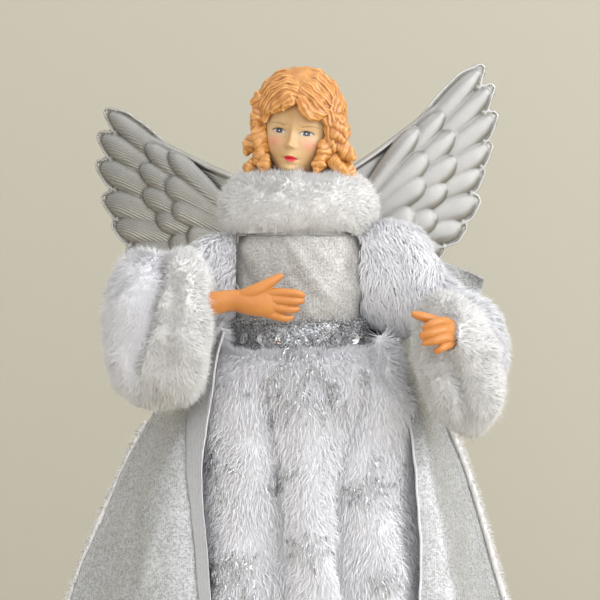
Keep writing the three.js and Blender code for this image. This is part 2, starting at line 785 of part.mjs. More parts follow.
// The nose, the eye sockets, the mouth, the cheeks and the chin as soft bumps: x, height, half width,
// half height and depth, as shares of the head's half width, height and front.
const faceShares = [
  [0, 0.453, 0.12, 0.041, 0.165],
  [0, 0.52, 0.09, 0.068, 0.087],
  [0.375, 0.581, 0.22, 0.041, -0.078],
  [-0.375, 0.581, 0.22, 0.041, -0.078],
  [0, 0.385, 0.2, 0.024, 0.053],
  [0.425, 0.453, 0.25, 0.061, 0.034],
  [-0.425, 0.453, 0.25, 0.061, 0.034],
  [0, 0.311, 0.225, 0.041, 0.049],
];

// How far the face stands out from a plain egg at x, z.
function faceRelief(x, z) {
  const [across, up] = [x / headHalfWidth, z / headHeight];
  const reliefShare = faceShares.reduce(
    (sum, [cx, cz, wide, high, deep]) =>
      sum + deep * Math.exp(-(((across - cx) / wide) ** 2) - ((up - cz) / high) ** 2),
    0,
  );
  return reliefShare * headFrontDepth;
}

function headRings(grow) {
  return headRingShares.map((share) => {
    const [wide, front, back] = readTable(headShares, share);
    const z = share * headHeight;
    return Array.from({ length: headSides }, (_, s) => {
      const a = (s / headSides) * 2 * Math.PI;
      const x = (wide * headHalfWidth + grow) * Math.sin(a);
      const deep = Math.cos(a) > 0 ? front * headFrontDepth : back * headBackDepth;
      const relief = Math.cos(a) > 0 ? faceRelief(x, z) * Math.min(1, 2 * Math.cos(a)) : 0;
      return new THREE.Vector3(x, -(deep + grow) * Math.cos(a) - relief, z + (share > 0.95 ? grow : 0));
    });
  });
}

function head() {
  const bore = clearHole(pegRadius + runningGap, 2 * (pegUpperLength + gap));
  return piece("head", cut(skinOver(headRings(0)), bore), facePaint);
}

// The hair cap is parted in the middle and waved, with sausage curls down both sides.
const hairShares = [
  [1, 0.103, 0.102, 0.097],
  [0.977, 0.373, 0.359, 0.358],
  [0.938, 0.579, 0.562, 0.575],
  [0.887, 0.75, 0.727, 0.746],
  [0.81, 0.905, 0.883, 0.91],
  [0.72, 0.976, 0.969, 0.993],
  [0.617, 1, 1, 1],
  [0.514, 0.968, 0.977, 0.948],
  [0.411, 0.865, 0.883, 0.851],
  [0.308, 0.655, 0.703, 0.653],
];
const hairRingShares = [0.308, 0.386, 0.463, 0.54, 0.617, 0.694, 0.771, 0.836, 0.887, 0.938, 0.977, 1];

// Each curl of the left side: x and y as shares of the hair's half width, height as a share of the hair's,
// and half sizes as shares of the usual curl. The right side has the same ones, a little higher.
const curlShares = [
  [0.913, -0.159, 0.604, 0.909, 1.182, 1.364],
  [0.972, -0.198, 0.476, 1, 1.182, 1.091],
  [1.151, -0.079, 0.411, 1, 1, 0.909],
  [0.893, -0.238, 0.36, 0.909, 1, 0.909],
  [1.071, -0.159, 0.315, 1, 1, 0.727],
  [0.734, 0.119, 0.347, 1.091, 1.273, 1.182],
  [0.397, 0.556, 0.36, 1.364, 1.182, 1.273],
];

// The outline of the opening that the face looks out of, with a wavy fringe along its top.
const windowShares = [
  [-0.516, 0],
  [0.516, 0],
  [0.587, 0.334],
  [0.659, 0.488],
  [0.651, 0.604],
  [0.476, 0.636],
  [0.278, 0.645],
  [0.135, 0.694],
  [0, 0.733],
  [-0.159, 0.7],
  [-0.317, 0.65],
  [-0.516, 0.645],
  [-0.643, 0.598],
  [-0.667, 0.488],
  [-0.587, 0.334],
];

function faceWindow() {
  const outline = new THREE.Shape(
    sized(windowShares, hairHalfWidth, hairHeight).map(([x, z]) => new THREE.Vector2(x, z)),
  );
  const cutter = new THREE.ExtrudeGeometry(outline, { depth: 2 * hairFrontDepth, bevelEnabled: false });
  return cutter.rotateX(Math.PI / 2).translate(0, -hairFrontDepth / 6, 0);
}

function hair() {
  const sides = 24;
  const rings = hairRingShares.map((share) => {
    const [wide, front, back] = readTable(hairShares, share);
    const lively = Math.min(1, 7.5 * (1 - share));
    return Array.from({ length: sides }, (_, s) => {
      const a = (s / sides) * 2 * Math.PI;
      const fromFront = a > Math.PI ? a - 2 * Math.PI : a;
      const wave = 0.16 * lively * Math.sin(43 * share + 20 * Math.abs(Math.sin(a / 2)));
      const parting = -0.27 * lively * Math.exp(-60 * fromFront ** 2) * (share > 0.75 ? 1 : 0);
      const out = curlSize * (wave + parting);
      const deep = Math.cos(a) > 0 ? front * hairFrontDepth : back * hairBackDepth;
      const x = (wide * hairHalfWidth + out) * Math.sin(a);
      return new THREE.Vector3(x, -(deep + out) * Math.cos(a), share * hairHeight);
    });
  });
  const curls = curlShares.flatMap(([x, y, z, ...half]) => {
    const place = [x * hairHalfWidth, y * hairHalfWidth, z * hairHeight];
    const size = half.map((share) => share * curlSize);
    const lift = rightCurlLift * (z < 0.5 ? 1 : 0.5);
    return [
      egg([-place[0], place[1], place[2]], size, 8, 6),
      egg([place[0], place[1], place[2] + lift], size, 8, 6),
    ];
  });
  const nape = clearHole(neckRadius + gap, headHeight, 16);
  return piece(
    "hair",
    cut(joined(skinOver(rings), ...curls), skinOver(headRings(gap)), faceWindow(), nape),
    orangeVinyl,
  );
}

function headGroup() {
  const group = new THREE.Group();
  group.position.copy(headPivot);
  group.rotation.y = degrees(headTilt);
  const turning = new THREE.Group();
  turning.rotation.z = degrees(headTurn);
  turning.add(head(), hair());
  group.add(turning);
  return group;
}

// Arms: a bent wire in a fur sleeve, a plush cuff and a moulded hand

// Hands are made along +X with the thumb up and the back of the hand towards -Y.
// Places and half sizes are shares of the hand's length, and a finger's own are shares of its radius.
const forearmShares = [
  [-0.427, 0, 0, 0.097, 0.109],
  [0, 0, 0, 0.101, 0.117],
  [0.175, 0, 0, 0.091, 0.105],
  [0.35, 0, 0.004, 0.089, 0.132],
  [0.524, 0, 0.006, 0.085, 0.167],
  [0.621, 0, 0, 0.074, 0.163],
];
const fingertipShares = [
  [0.99, 0.109],
  [1, 0.027],
  [0.942, -0.058],
  [0.864, -0.144],
];
const fingerRootShares = [0.563, 0.12, 0.08]; // reach, height of the first finger and the step to the next
const thumbRootShares = [0.369, 0, 0.058];
const leftThumbShares = [0.757, -0.019, 0.32];
const rightThumbShares = [0.738, -0.117, 0.252];
const wristShare = -0.427;

function finger([tipX, tipZ], i, curl) {
  const [rootX, firstZ, step] = fingerRootShares;
  const rootZ = firstZ - step * i;
  const station = (x, z, bend, share) => [
    x * handLength,
    curl * bend * fingerRadius,
    z * handLength,
    share * fingerRadius,
    share * fingerRadius,
  ];
  return limb(
    [
      station(rootX, rootZ, 0, 1.05),
      station(0.7, rootZ - 0.006, 0.16, 1.02),
      station(0.36 + tipX / 2, (rootZ + tipZ) / 2 - 0.008, 0.36, 1),
      station(tipX - 0.04, tipZ, 0.73, 0.85),
    ],
    acrossY,
    upZ,
    6,
  );
}

function thumb(tipShares) {
  const girthShares = [1.45, 1.32, 1.14, 0.91];
  const stations = girthShares.map((girth, i) => {
    const t = (i / 3) * 0.95;
    const arch = 0.016 * Math.sin(Math.PI * t);
    const [x, y, z] = thumbRootShares.map((share, k) => lerp(share, tipShares[k], t) * handLength);
    return [x + arch * handLength, y, z + arch * handLength, girth * fingerRadius, girth * fingerRadius];
  });
  return limb(stations, acrossY, new THREE.Vector3(-1, 0, 1).normalize(), 7);
}

function hand(name, thumbShares, curl) {
  const forearm = limb(sized(forearmShares, handLength), acrossY, upZ, 12);
  const fingers = fingertipShares.map((tip, i) => finger(tip, i, curl));
  const boreLength = -1.6 * wristShare * handLength;
  const bore = clearHole(wireRadius + runningGap, boreLength, 8)
    .rotateY(Math.PI / 2)
    .translate(wristShare * handLength, 0, 0);
  return piece(name, cut(joined(forearm, thumb(thumbShares), ...fingers), bore), orangeVinyl);
}

// A place on an arm, from shares of the arm's length out from the middle of the shoulders.
function armPlace([x, y, z]) {
  return new THREE.Vector3(x * armLength, y * armLength, shoulderHeight + z * armLength);
}

// A place so far along a forearm from the hand's origin, as a share of the hand's length.
function forearmPlace(place, turn, share) {
  const a = degrees(turn);
  return place.clone().add(new THREE.Vector3(Math.cos(a), Math.sin(a), 0).multiplyScalar(share * handLength));
}

// The left arm is raised, with its hand before the chest. The right one is held forwards.
const leftHandTurn = 6; // degrees
const rightHandTurn = -115;
const leftHandPlace = armPlace([-0.48, -0.5, -0.3]);
const rightHandPlace = armPlace([0.93, -0.43, -0.46]);
const leftElbowShares = [
  [-0.54, -0.005, -0.008],
  [-0.69, -0.08, -0.12],
  [-0.83, -0.22, -0.23],
  [-0.91, -0.38, -0.29],
];
const rightElbowShares = [
  [0.54, -0.003, -0.005],
  [0.72, -0.01, -0.12],
  [0.92, -0.03, -0.32],
  [1.03, -0.08, -0.435],
];
const leftForearmShares = [-0.7, -0.583, -0.466, -0.35, -0.233, -0.136];
const rightForearmShares = [-0.583, -0.466, -0.35, -0.233, -0.136];

function wirePath(side, elbowShares, handPlace, turn, wristShares) {
  return [
    new THREE.Vector3(side * (shoulderWireHalfLength + gap), 0, shoulderHeight),
    ...elbowShares.map(armPlace),
    ...wristShares.map((share) => forearmPlace(handPlace, turn, share)),
  ];
}

const leftWirePath = wirePath(-1, leftElbowShares, leftHandPlace, leftHandTurn, leftForearmShares);
const rightWirePath = wirePath(1, rightElbowShares, rightHandPlace, rightHandTurn, rightForearmShares);
const wireSteps = 20;

function armWire(name, path) {
  return piece(name, bar(path, wireRadius, wireSteps, 6), galvanisedWire);
}

// The hollow that a wire and its straight end in the shoulder need in a sleeve.
function wireWay(path, side) {
  const room = wireRadius + gap;
  const straight = clearHole(room, shoulderWireHalfLength - sleeveStart + 2 * overrunLength, 6)
    .rotateY(Math.PI / 2)
    .translate((side * (shoulderWireHalfLength + sleeveStart)) / 2, 0, shoulderHeight);
  return joined(bar(path, room + gap, wireSteps, 6), straight);
}

// A block that removes everything on the body's side of the sleeve's start.
function shoulderBlock(side) {
  const block = new THREE.BoxGeometry(cutterSize, cutterSize, cutterSize);
  return block.translate(side * (sleeveStart - cutterSize / 2), 0, shoulderHeight - cutterSize / 4);
}

// A round cutter along a forearm, between two shares of the hand's length.
function handCutter(place, turn, radius, from, to) {
  const [start, end] = [from * handLength, to * handLength];
  return clearHole(radius, end - start, 14)
    .rotateY(Math.PI / 2)
    .translate((start + end) / 2, 0, 0)
    .rotateZ(degrees(turn))
    .translate(place.x, place.y, place.z);
}

// A soft thick disc about the X axis, with rounded shoulders.
const puckShares = [-0.995, -0.92, -0.7, -0.25, 0.25, 0.7, 0.92, 0.995];
const puckRoundness = 2.6;

function puck(halfWide, halfHigh, thickness) {
  const sides = 18;
  const rings = puckShares.map((share) => {
    const size = (1 - Math.abs(share) ** puckRoundness) ** (1 / puckRoundness);
    return Array.from({ length: sides }, (_, s) => {
      const a = (s / sides) * 2 * Math.PI;
      const swell = size * (1 + 0.02 * Math.sin(5 * a + 1));
      return new THREE.Vector3(
        (share * thickness) / 2,
        halfWide * swell * Math.cos(a),
        halfHigh * swell * Math.sin(a),
      );
    });
  });
  return skinOver(rings);
}

// Sleeves run through stations: a place on the arm and two half sizes, all as shares of the arm's length.
function sleeveLimb(side, shares, lean) {
  const stations = shares.map(([x, y, z, wide, high]) => {
    const p = armPlace([x, y, z]);
    return [p.x, p.y, p.z, wide * armLength, high * armLength];
  });
  const [first] = stations;
  const start = [side * sleeveStart, ...first.slice(1)];
  const inside = [side * (sleeveStart - overrunLength), ...first.slice(1)];
  const through = [inside, start, ...stations.slice(1)];
  return limb(through, new THREE.Vector3(-side * lean, 1, 0).normalize(), upZ, 12);
}

const leftSleeveShares = [
  [-0.38, 0, -0.07, 0.13, 0.176],
  [-0.5, -0.01, -0.1, 0.15, 0.185],
  [-0.64, -0.06, -0.19, 0.16, 0.185],
  [-0.8, -0.16, -0.29, 0.17, 0.21],
  [-0.92, -0.28, -0.37, 0.14, 0.23],
];
const leftBell = armPlace([-0.92, -0.42, -0.44]);
const leftCuffPlace = armPlace([-0.804, -0.48, -0.45]);

function leftCuffForm(grow) {
  const form = puck(leftCuffHalfDepth + grow, leftCuffHalfHeight + grow, cuffLength + 2 * grow);
  return form.translate(leftCuffPlace.x + cuffLength / 2, leftCuffPlace.y, leftCuffPlace.z);
}

function leftSleeve() {
  const bell = egg(
    [leftBell.x, leftBell.y, leftBell.z],
    [bellHalfLength, leftCuffHalfDepth - bellInsetWidth, leftCuffHalfHeight - bellInsetWidth],
    14,
    11,
  );
  const block = new THREE.BoxGeometry(cutterSize, cutterSize, cutterSize).translate(
    leftCuffPlace.x - gap + cutterSize / 2,
    leftCuffPlace.y,
    leftCuffPlace.z,
  );
  const wrist = handCutter(leftHandPlace, leftHandTurn, forearmRadius + 2 * gap, wristShare - 0.02, 0);
  return piece(
    "left_sleeve",
    cut(
      joined(sleeveLimb(-1, leftSleeveShares, 0.2), cut(bell, block)),
      leftCuffForm(gap),
      wireWay(leftWirePath, -1),
      shoulderBlock(-1),
      wrist,
    ),
    longFur,
  );
}

// Cuffs are soft plush rings round the mouths of the sleeves.
function leftCuff() {
  const way = handCutter(leftHandPlace, leftHandTurn, forearmRadius + 3 * gap, wristShare - 0.3, 0.16);
  return piece("left_cuff", cut(leftCuffForm(0), way), whitePlush);
}

const rightSleeveShares = [
  [0.38, 0, -0.14, 0.13, 0.246],
  [0.5, -0.01, -0.15, 0.16, 0.3],
  [0.62, -0.03, -0.14, 0.17, 0.27],
  [0.72, -0.05, -0.11, 0.17, 0.2],
  [0.8, -0.08, -0.12, 0.15, 0.15],
];
const rightElbowSleeveShares = [
  [0.7, -0.06, -0.2, 0.13, 0.15],
  [0.84, -0.09, -0.32, 0.14, 0.16],
  [0.94, -0.14, -0.44, 0.14, 0.18],
];
const rightBell = armPlace([0.86, -0.22, -0.59]);
const rightBellShares = [0.89, 0.79, 0.85]; // of the cuff's half width, half width and half height
const rightCuffPlace = armPlace([0.83, -0.37, -0.62]);

function rightCuffForm(grow) {
  const form = puck(rightCuffHalfWidth + grow, rightCuffHalfHeight + grow, cuffLength + 2 * grow);
  form.rotateZ(Math.PI / 2);
  return form.translate(rightCuffPlace.x, rightCuffPlace.y - cuffLength / 2, rightCuffPlace.z);
}

function rightSleeve() {
  const elbow = rightElbowSleeveShares.map(([x, y, z, wide, high]) => {
    const p = armPlace([x, y, z]);
    return [p.x, p.y, p.z, wide * armLength, high * armLength];
  });
  const cuffSizes = [rightCuffHalfWidth, rightCuffHalfWidth, rightCuffHalfHeight];
  const bellSizes = rightBellShares.map((share, i) => share * cuffSizes[i]);
  const bell = egg([rightBell.x, rightBell.y, rightBell.z], bellSizes, 14, 11);
  const block = new THREE.BoxGeometry(cutterSize, cutterSize, cutterSize).translate(
    rightCuffPlace.x,
    rightCuffPlace.y + gap - cutterSize / 2,
    rightCuffPlace.z,
  );
  return piece(
    "right_sleeve",
    cut(
      joined(
        sleeveLimb(1, rightSleeveShares, 0.2),
        limb(elbow, new THREE.Vector3(-0.5, 1, 0).normalize(), upZ, 10),
        bell,
      ),
      block,
      wireWay(rightWirePath, 1),
      shoulderBlock(1),
      handCutter(rightHandPlace, rightHandTurn, forearmRadius + 2 * gap, wristShare - 0.02, 0),
    ),
    longFur,
  );
}

// The hollow round the palm: a place and half sizes, as shares of the hand's length.
const palmWayShares = [
  [0.466, -0.029, 0.029],
  [0.505, 0.194, 0.291],
];

function rightCuff() {
  const [place, half] = sized(palmWayShares, handLength);
  const palm = egg(place, half, 14, 9)
    .rotateZ(degrees(rightHandTurn))
    .translate(rightHandPlace.x, rightHandPlace.y, rightHandPlace.z);
  const way = handCutter(rightHandPlace, rightHandTurn, forearmRadius + 3 * gap, wristShare - 0.3, 0.23);
  return piece("right_cuff", cut(rightCuffForm(0), way, palm), whitePlush);
}

function leftArm() {
  const group = new THREE.Group();
  const leftHand = hand("left_hand", leftThumbShares, 1);
  leftHand.position.copy(leftHandPlace);
  leftHand.rotation.z = degrees(leftHandTurn);
  group.add(armWire("left_arm_wire", leftWirePath), leftSleeve(), leftCuff(), leftHand);
  return group;
}

function rightArm() {
  const group = new THREE.Group();
  const rightHand = hand("right_hand", rightThumbShares, -1);
  rightHand.position.copy(rightHandPlace);
  rightHand.rotation.z = degrees(rightHandTurn);
  group.add(armWire("right_arm_wire", rightWirePath), rightSleeve(), rightCuff(), rightHand);
  return group;
}

// Wings: padded feathers of foil cloth on a thin sheet, each turning on an upright post

const wingPlateFront = waistHalfDepth + coatThickness + 3 * gap;
const wingHingeY = wingPlateFront + wingPlateThickness + wingStandoffDepth;
const wingHingeZ = shoulderHeight + wingHingeRise;
const wingSleeveHeight = wingHingeLength - 2 * lugHeight - 2 * runningGap;

// Direction in degrees above level, then length and half width as shares of the wing's length.
const primaryShares = [
  [48.2, 1, 0.052],
  [41.6, 0.955, 0.062],
  [35.4, 0.885, 0.066],
  [29.4, 0.79, 0.066],
  [22.6, 0.715, 0.066],
  [14.6, 0.65, 0.064],
  [6.2, 0.575, 0.06],
  [-3, 0.47, 0.056],
];
const secondaryShares = [
  [49.6, 0.73, 0.05],
  [42.6, 0.71, 0.056],
  [34.4, 0.655, 0.06],
  [26.4, 0.57, 0.062],
  [15, 0.49, 0.06],
  [3, 0.4, 0.05],
];
const tertiaryShares = [
  [53, 0.61, 0.045],
  [44, 0.57, 0.06],
  [34, 0.49, 0.062],
  [20, 0.39, 0.062],
];
const featherRootShare = 0.2;

// How far along a feather, then its width and thickness as shares of its greatest.
const featherShares = [
  [0, 0.45, 0.5],
  [0.45, 0.9, 1],
  [0.75, 1, 1],
  [0.9, 0.8, 0.85],
  [0.98, 0.42, 0.5],
];

// A leaf-shaped pad from near the hinge to its tip.
function feather([direction, reach, half], liftShare, side, raise) {
  const a = degrees(direction + raise);
  const lengthways = new THREE.Vector3(side * Math.cos(a), 0, Math.sin(a));
  const sideways = new THREE.Vector3(-side * Math.sin(a), 0, Math.cos(a));
  const stations = featherShares.map(([t, wide, thick]) => {
    const centre = lengthways.clone().multiplyScalar(wingLength * lerp(featherRootShare, reach, t));
    return [
      centre.x,
      -liftShare * featherThickness,
      centre.z,
      wide * half * wingLength,
      (thick * featherThickness) / 2,
    ];
  });
  return limb(stations, sideways, acrossY, 6, 0);
}

// Direction and distance of points along the wing's leading edge, as shares of its length.
const leadingShares = [
  [49.2, 0.93],
  [50.2, 0.861],
  [51.2, 0.752],
  [54, 0.625],
  [60.3, 0.466],
  [71.2, 0.343],
];

// The thin sheet behind the feathers, from the hinge sleeve to just short of the feather tips.
function wingSheet(side, raise) {
  const half = wingSleeveHeight / 2;
  const clear = lugWidth * 0.8;
  const tips = [...primaryShares].reverse().map(([direction, reach]) => [direction, reach * 0.9]);
  const edge = [...tips, ...leadingShares].map(([direction, reach]) => {
    const a = degrees(direction + raise);
    return new THREE.Vector2(side * reach * wingLength * Math.cos(a), reach * wingLength * Math.sin(a));
  });
  const outline = new THREE.Shape([
    new THREE.Vector2(0, -half),
    new THREE.Vector2(side * clear, -half),
    ...edge,
    new THREE.Vector2(side * clear, half),
    new THREE.Vector2(0, half),
  ]);
  const sheet = new THREE.ExtrudeGeometry(outline, { depth: wingSheetThickness, bevelEnabled: false });
  return sheet.rotateX(Math.PI / 2).translate(0, wingSheetThickness / 2, 0);
}

function wing(name, side, sweep, raise) {
  const feathers = [
    ...primaryShares.map((row) => feather(row, 0, side, raise)),
    ...secondaryShares.map((row) => feather(row, 0.24, side, raise)),
    ...tertiaryShares.map((row) => feather(row, 0.4, side, raise)),
  ];
  const sleeve = new THREE.CylinderGeometry(wingSleeveRadius, wingSleeveRadius, wingSleeveHeight, 12);
  sleeve.rotateX(Math.PI / 2);
  const bore = clearHole(wingPostRadius + runningGap, 2 * wingHingeLength);
  const panel = piece(name, cut(joined(wingSheet(side, raise), sleeve, ...feathers), bore), wingFoil);
  panel.position.set(side * wingHingeOffset, wingHingeY, wingHingeZ);
  panel.rotation.z = side * degrees(sweep);
  return panel;
}

// The plate is stitched to the back of the cape, and its lugs hold the posts.
function wingPlate() {
  const half = wingHingeLength / 2;
  const boardWidth = 2 * (wingHingeOffset + wingPlateMarginWidth);
  const board = new THREE.BoxGeometry(boardWidth, wingPlateThickness, wingHingeLength);
  board.translate(0, wingPlateFront + wingPlateThickness / 2, wingHingeZ);
  const lugFront = wingPlateFront + wingPlateThickness / 2;
  const lugDepth = wingHingeY + lugWidth * 0.4 - lugFront;
  const lugs = [-1, 1].flatMap((side) =>
    [-1, 1].map((end) =>
      new THREE.BoxGeometry(lugWidth, lugDepth, lugHeight).translate(
        side * wingHingeOffset,
        lugFront + lugDepth / 2,
        wingHingeZ + end * (half - lugHeight / 2),
      ),
    ),
  );
  const holes = [-1, 1].map((side) =>
    clearHole(wingPostRadius + gap, 2 * wingHingeLength, 10)
      .translate(side * wingHingeOffset, wingHingeY, wingHingeZ),
  );
  return piece("wing_plate", cut(joined(board, ...lugs), ...holes), greyCard);
}

function wingPost(name, side) {
  const length = wingHingeLength + 2 * wingPostEndLength;
  const rod = new THREE.CylinderGeometry(wingPostRadius, wingPostRadius, length, 10).rotateX(Math.PI / 2);
  const post = piece(name, rod, galvanisedWire);
  post.position.set(side * wingHingeOffset, wingHingeY, wingHingeZ);
  return post;
}

// The whole angel

const angel = new THREE.Group();
angel.add(
  baseCone(),
  torsoForm(),
  neckPeg(),
  shoulderWire(),
  bodice(),
  beltBraid(),
  ...beltSequins(),
  collar(),
  skirt(),
  coatBack(),
  frontPanel("coat_left_panel", -1, leftPanelShares, 12),
  frontPanel("coat_right_panel", 1, rightPanelShares, 10),
  seamTrim("coat_left_trim", -1, [-0.9, 0.44, 0]),
  seamTrim("coat_right_trim", 1, [0.9, 0.44, 0]),
  coatFlounce("coat_left_flounce", -1, leftFlounceReachLength),
  coatFlounce("coat_right_flounce", 1, rightFlounceReachLength),
  headGroup(),
  leftArm(),
  rightArm(),
  wingPlate(),
  wingPost("left_wing_post", -1),
  wingPost("right_wing_post", 1),
  wing("left_wing", -1, leftWingSweep, leftWingRaise),
  wing("right_wing", 1, rightWingSweep, rightWingRaise),
);

export default angel;
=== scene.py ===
"""An angel tree topper. Lengths below are in millimetres and are scaled to metres when a mesh is made.

Left is -X and right is +X, as seen from in front of the angel, which faces -Y.
"""

import math

import bpy
import numpy as np
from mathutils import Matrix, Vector


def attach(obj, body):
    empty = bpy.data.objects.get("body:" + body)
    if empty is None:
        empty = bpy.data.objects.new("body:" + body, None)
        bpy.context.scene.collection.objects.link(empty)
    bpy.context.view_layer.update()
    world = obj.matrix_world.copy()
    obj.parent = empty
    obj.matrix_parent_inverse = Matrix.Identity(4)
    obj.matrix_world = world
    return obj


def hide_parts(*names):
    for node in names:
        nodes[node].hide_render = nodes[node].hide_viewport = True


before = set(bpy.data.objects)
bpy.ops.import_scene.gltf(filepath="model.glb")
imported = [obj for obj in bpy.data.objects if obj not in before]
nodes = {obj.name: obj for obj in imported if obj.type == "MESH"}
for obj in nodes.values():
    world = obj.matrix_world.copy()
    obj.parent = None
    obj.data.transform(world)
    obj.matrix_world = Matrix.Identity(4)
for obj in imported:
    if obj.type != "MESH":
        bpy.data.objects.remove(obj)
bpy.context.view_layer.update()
scene = bpy.context.scene
rng = np.random.default_rng(20)

# Camera, level with the belt. The picture's width spans 330 mm at the middle of the angel,
# which is 0.55 mm for each of its 600 pixels.
camera_away, picture_span, picture_middle, mm_per_pixel = 1300, 330, 300, 0.55
eye = np.array([0.5, -camera_away, 268.0])
camera_data = bpy.data.cameras.new("camera")
camera_data.sensor_width = 36
camera_data.lens = camera_data.sensor_width * camera_away / picture_span
camera = bpy.data.objects.new("camera", camera_data)
camera.location = eye / 1000
camera.rotation_euler = (math.radians(90), 0, 0)
scene.collection.objects.link(camera)
scene.camera = camera
scene.view_settings.view_transform = "Standard"
scene.view_settings.look = "None"

# Inside parts: a rolled card cone, a foam chest, a turned wooden peg, bent wires and a card plate with
# two wire posts. They are glued or pushed together, and nearly all of them are covered by cloth and fur.


def linear(code):
    """An sRGB hex colour as linear red, green and blue, each a power of 2.4 of its share, with alpha 1."""
    values = [int(code[i : i + 2], 16) / 255 for i in (1, 3, 5)]
    return (*[v / 12.92 if v <= 0.04045 else ((v + 0.055) / 1.055) ** 2.4 for v in values], 1)


def add(mat, kind, props=None, **inputs):
    """Adds a node with its settings, where stops are a colour ramp's (place, hex colour) pairs. An
    input is a socket to link from or a value to set, and i with a number is the socket so numbered."""
    new = mat.node_tree.nodes.new("ShaderNode" + kind)
    for key, value in (props or {}).items():
        if key != "stops":
            setattr(new, key, value)
            continue
        while len(new.color_ramp.elements) < len(value):
            new.color_ramp.elements.new(0.5)
        for element, (place, code) in zip(new.color_ramp.elements, value):
            element.position = place
            element.color = linear(code)
    for key, value in inputs.items():
        numbered = key[0] == "i" and key[1:].isdigit()
        socket = new.inputs[int(key[1:]) if numbered else key.replace("_", " ")]
        if isinstance(value, bpy.types.NodeSocket):
            mat.node_tree.links.new(value, socket)
        else:
            socket.default_value = value
    return new


def finish_of(name, **inputs):
    """A new material, and a function that sets inputs of its surface or links sockets to them."""
    mat = bpy.data.materials.new(name)
    mat.use_nodes = True
    surface = mat.node_tree.nodes["Principled BSDF"]

    def put(**sockets):
        """Each input takes a link where it is given a socket, and else the value itself."""
        for key, value in sockets.items():
            socket = surface.inputs[key.replace("_", " ")]
            if isinstance(value, bpy.types.NodeSocket):
                mat.node_tree.links.new(value, socket)
            else:
                socket.default_value = value

    put(**inputs)
    return mat, put


def raw_stock(name, light, dark, grain_size, rough, metal=0.0, depth=0.2):
    """Raw craft stock. One noise, a bump for each grain size, mixes the dark colour into the light
    one, adds up to 0.2 to the roughness and lifts the surface by its depth."""
    mat, put = finish_of(name, Metallic=metal)
    place = add(mat, "TexCoord").outputs["Object"]
    grain = add(mat, "TexNoise", Vector=place, Scale=1000 / grain_size, Detail=5.0)
    wear = add(mat, "Math", {"operation": "MULTIPLY_ADD"}, i0=grain.outputs[0], i1=0.2, i2=rough)
    bump = add(mat, "Bump", Height=grain.outputs[0], Strength=0.5, Distance=depth / 1000)
    tone = add(mat, "ValToRGB", {"stops": [(0.3, dark), (0.7, light)]}, Fac=grain.outputs[0])
    put(Base_Color=tone.outputs["Color"], Normal=bump.outputs[0], Roughness=wear.outputs[0])
    return mat


# Grey board, pressed from pulp: dull, with clouds of fibre about 3 mm across.
grey_board = raw_stock("pressed_grey_board", "#D6D0C4", "#BDB6A8", 10 / 3, 0.75)
# Expanded polystyrene, moulded: white and matt, with 2 mm beads that stand out a little.
foam_beads = raw_stock("moulded_polystyrene_foam", "#F6F6F4", "#E4E4E1", 2.0, 0.8, depth=0.6)
# Galvanised steel wire, drawn: grey metal with spangle about a millimetre across.
wire = raw_stock("drawn_galvanised_wire", "#A9ADB1", "#83878B", 1.25, 0.3, metal=1.0)
# Pine, turned on a lathe and left bare: pale yellow, its grain about 5 mm wide.
pine = raw_stock("turned_bare_pine", "#DFC294", "#C9A877", 5.0, 0.65)

inside_finishes = {
    "base_cone": grey_board,
    "torso_form": foam_beads,
    "neck_peg": pine,
    "shoulder_wire": wire,
    "left_arm_wire": wire,
    "right_arm_wire": wire,
    "wing_plate": grey_board,
    "left_wing_post": wire,
    "right_wing_post": wire,
}
for name, mat in inside_finishes.items():
    nodes[name].data.materials.clear()
    nodes[name].data.materials.append(mat)

# Skirt: long acrylic fur cloth, a knitted backing with the pile combed down it. It is sewn into a tube,
# gathered round the waist and hangs over the cone in ten soft folds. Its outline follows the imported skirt.


def long_fur_pile(name, root, tip):
    """Acrylic pile. Up each strand the root colour, a little darker as painted shade deep in the pile, turns
    into the tip's over three quarters of its length, and each strand is up to 6 % darker than the next."""
    mat, put = finish_of(name, Roughness=1.0, Specular_IOR_Level=0.1)
    strand = add(mat, "UVMap", {"uv_map": "OFBake"}).outputs["UV"]
    split = add(mat, "SeparateXYZ", Vector=strand)
    along = add(mat, "ValToRGB", {"stops": [(0, root), (0.75, tip)]}, Fac=split.outputs["Y"])
    shade = add(mat, "Math", {"operation": "MULTIPLY_ADD"}, i0=split.outputs["X"], i1=0.06, i2=0.94)
    tone = add(mat, "VectorMath", {"operation": "SCALE"}, i0=along.outputs["Color"], Scale=shade.outputs[0])
    put(Base_Color=tone.outputs[0], Sheen_Weight=0.6, Sheen_Roughness=0.5)
    return mat


def knitted_backing(name, code):
    """Knitted polyester. Loops of about a millimetre, drawn coarser than real ones so that they show,
    are the bump, and clouds 11 mm across make the colour up to 10 % darker and 6 % lighter."""
    mat, put = finish_of(name, Roughness=1.0)
    place = add(mat, "TexCoord").outputs["Object"]
    loops = add(mat, "TexNoise", Vector=place, Scale=900.0, Detail=3.0)
    cloud = add(mat, "TexNoise", Vector=place, Scale=90.0, Detail=3.0)
    shade = add(mat, "Math", {"operation": "MULTIPLY_ADD"}, i0=cloud.outputs[0], i1=0.16, i2=0.9)
    tone = add(mat, "VectorMath", {"operation": "SCALE"}, i0=linear(code)[:3], Scale=shade.outputs[0])
    bump = add(mat, "Bump", Height=loops.outputs[0], Strength=0.6, Distance=0.0006)
    put(Base_Color=tone.outputs[0], Normal=bump.outputs[0], Sheen_Weight=0.3)
    return mat


# Acrylic fur, combed: cold white strands that scatter light and look soft, with painted shade that makes
# them greyer down in the pile.
long_pile = long_fur_pile("combed_acrylic_fur", "#ECECF0", "#FBFBFE")
pile_back = knitted_backing("fur_knitted_backing", "#F0F0F4")

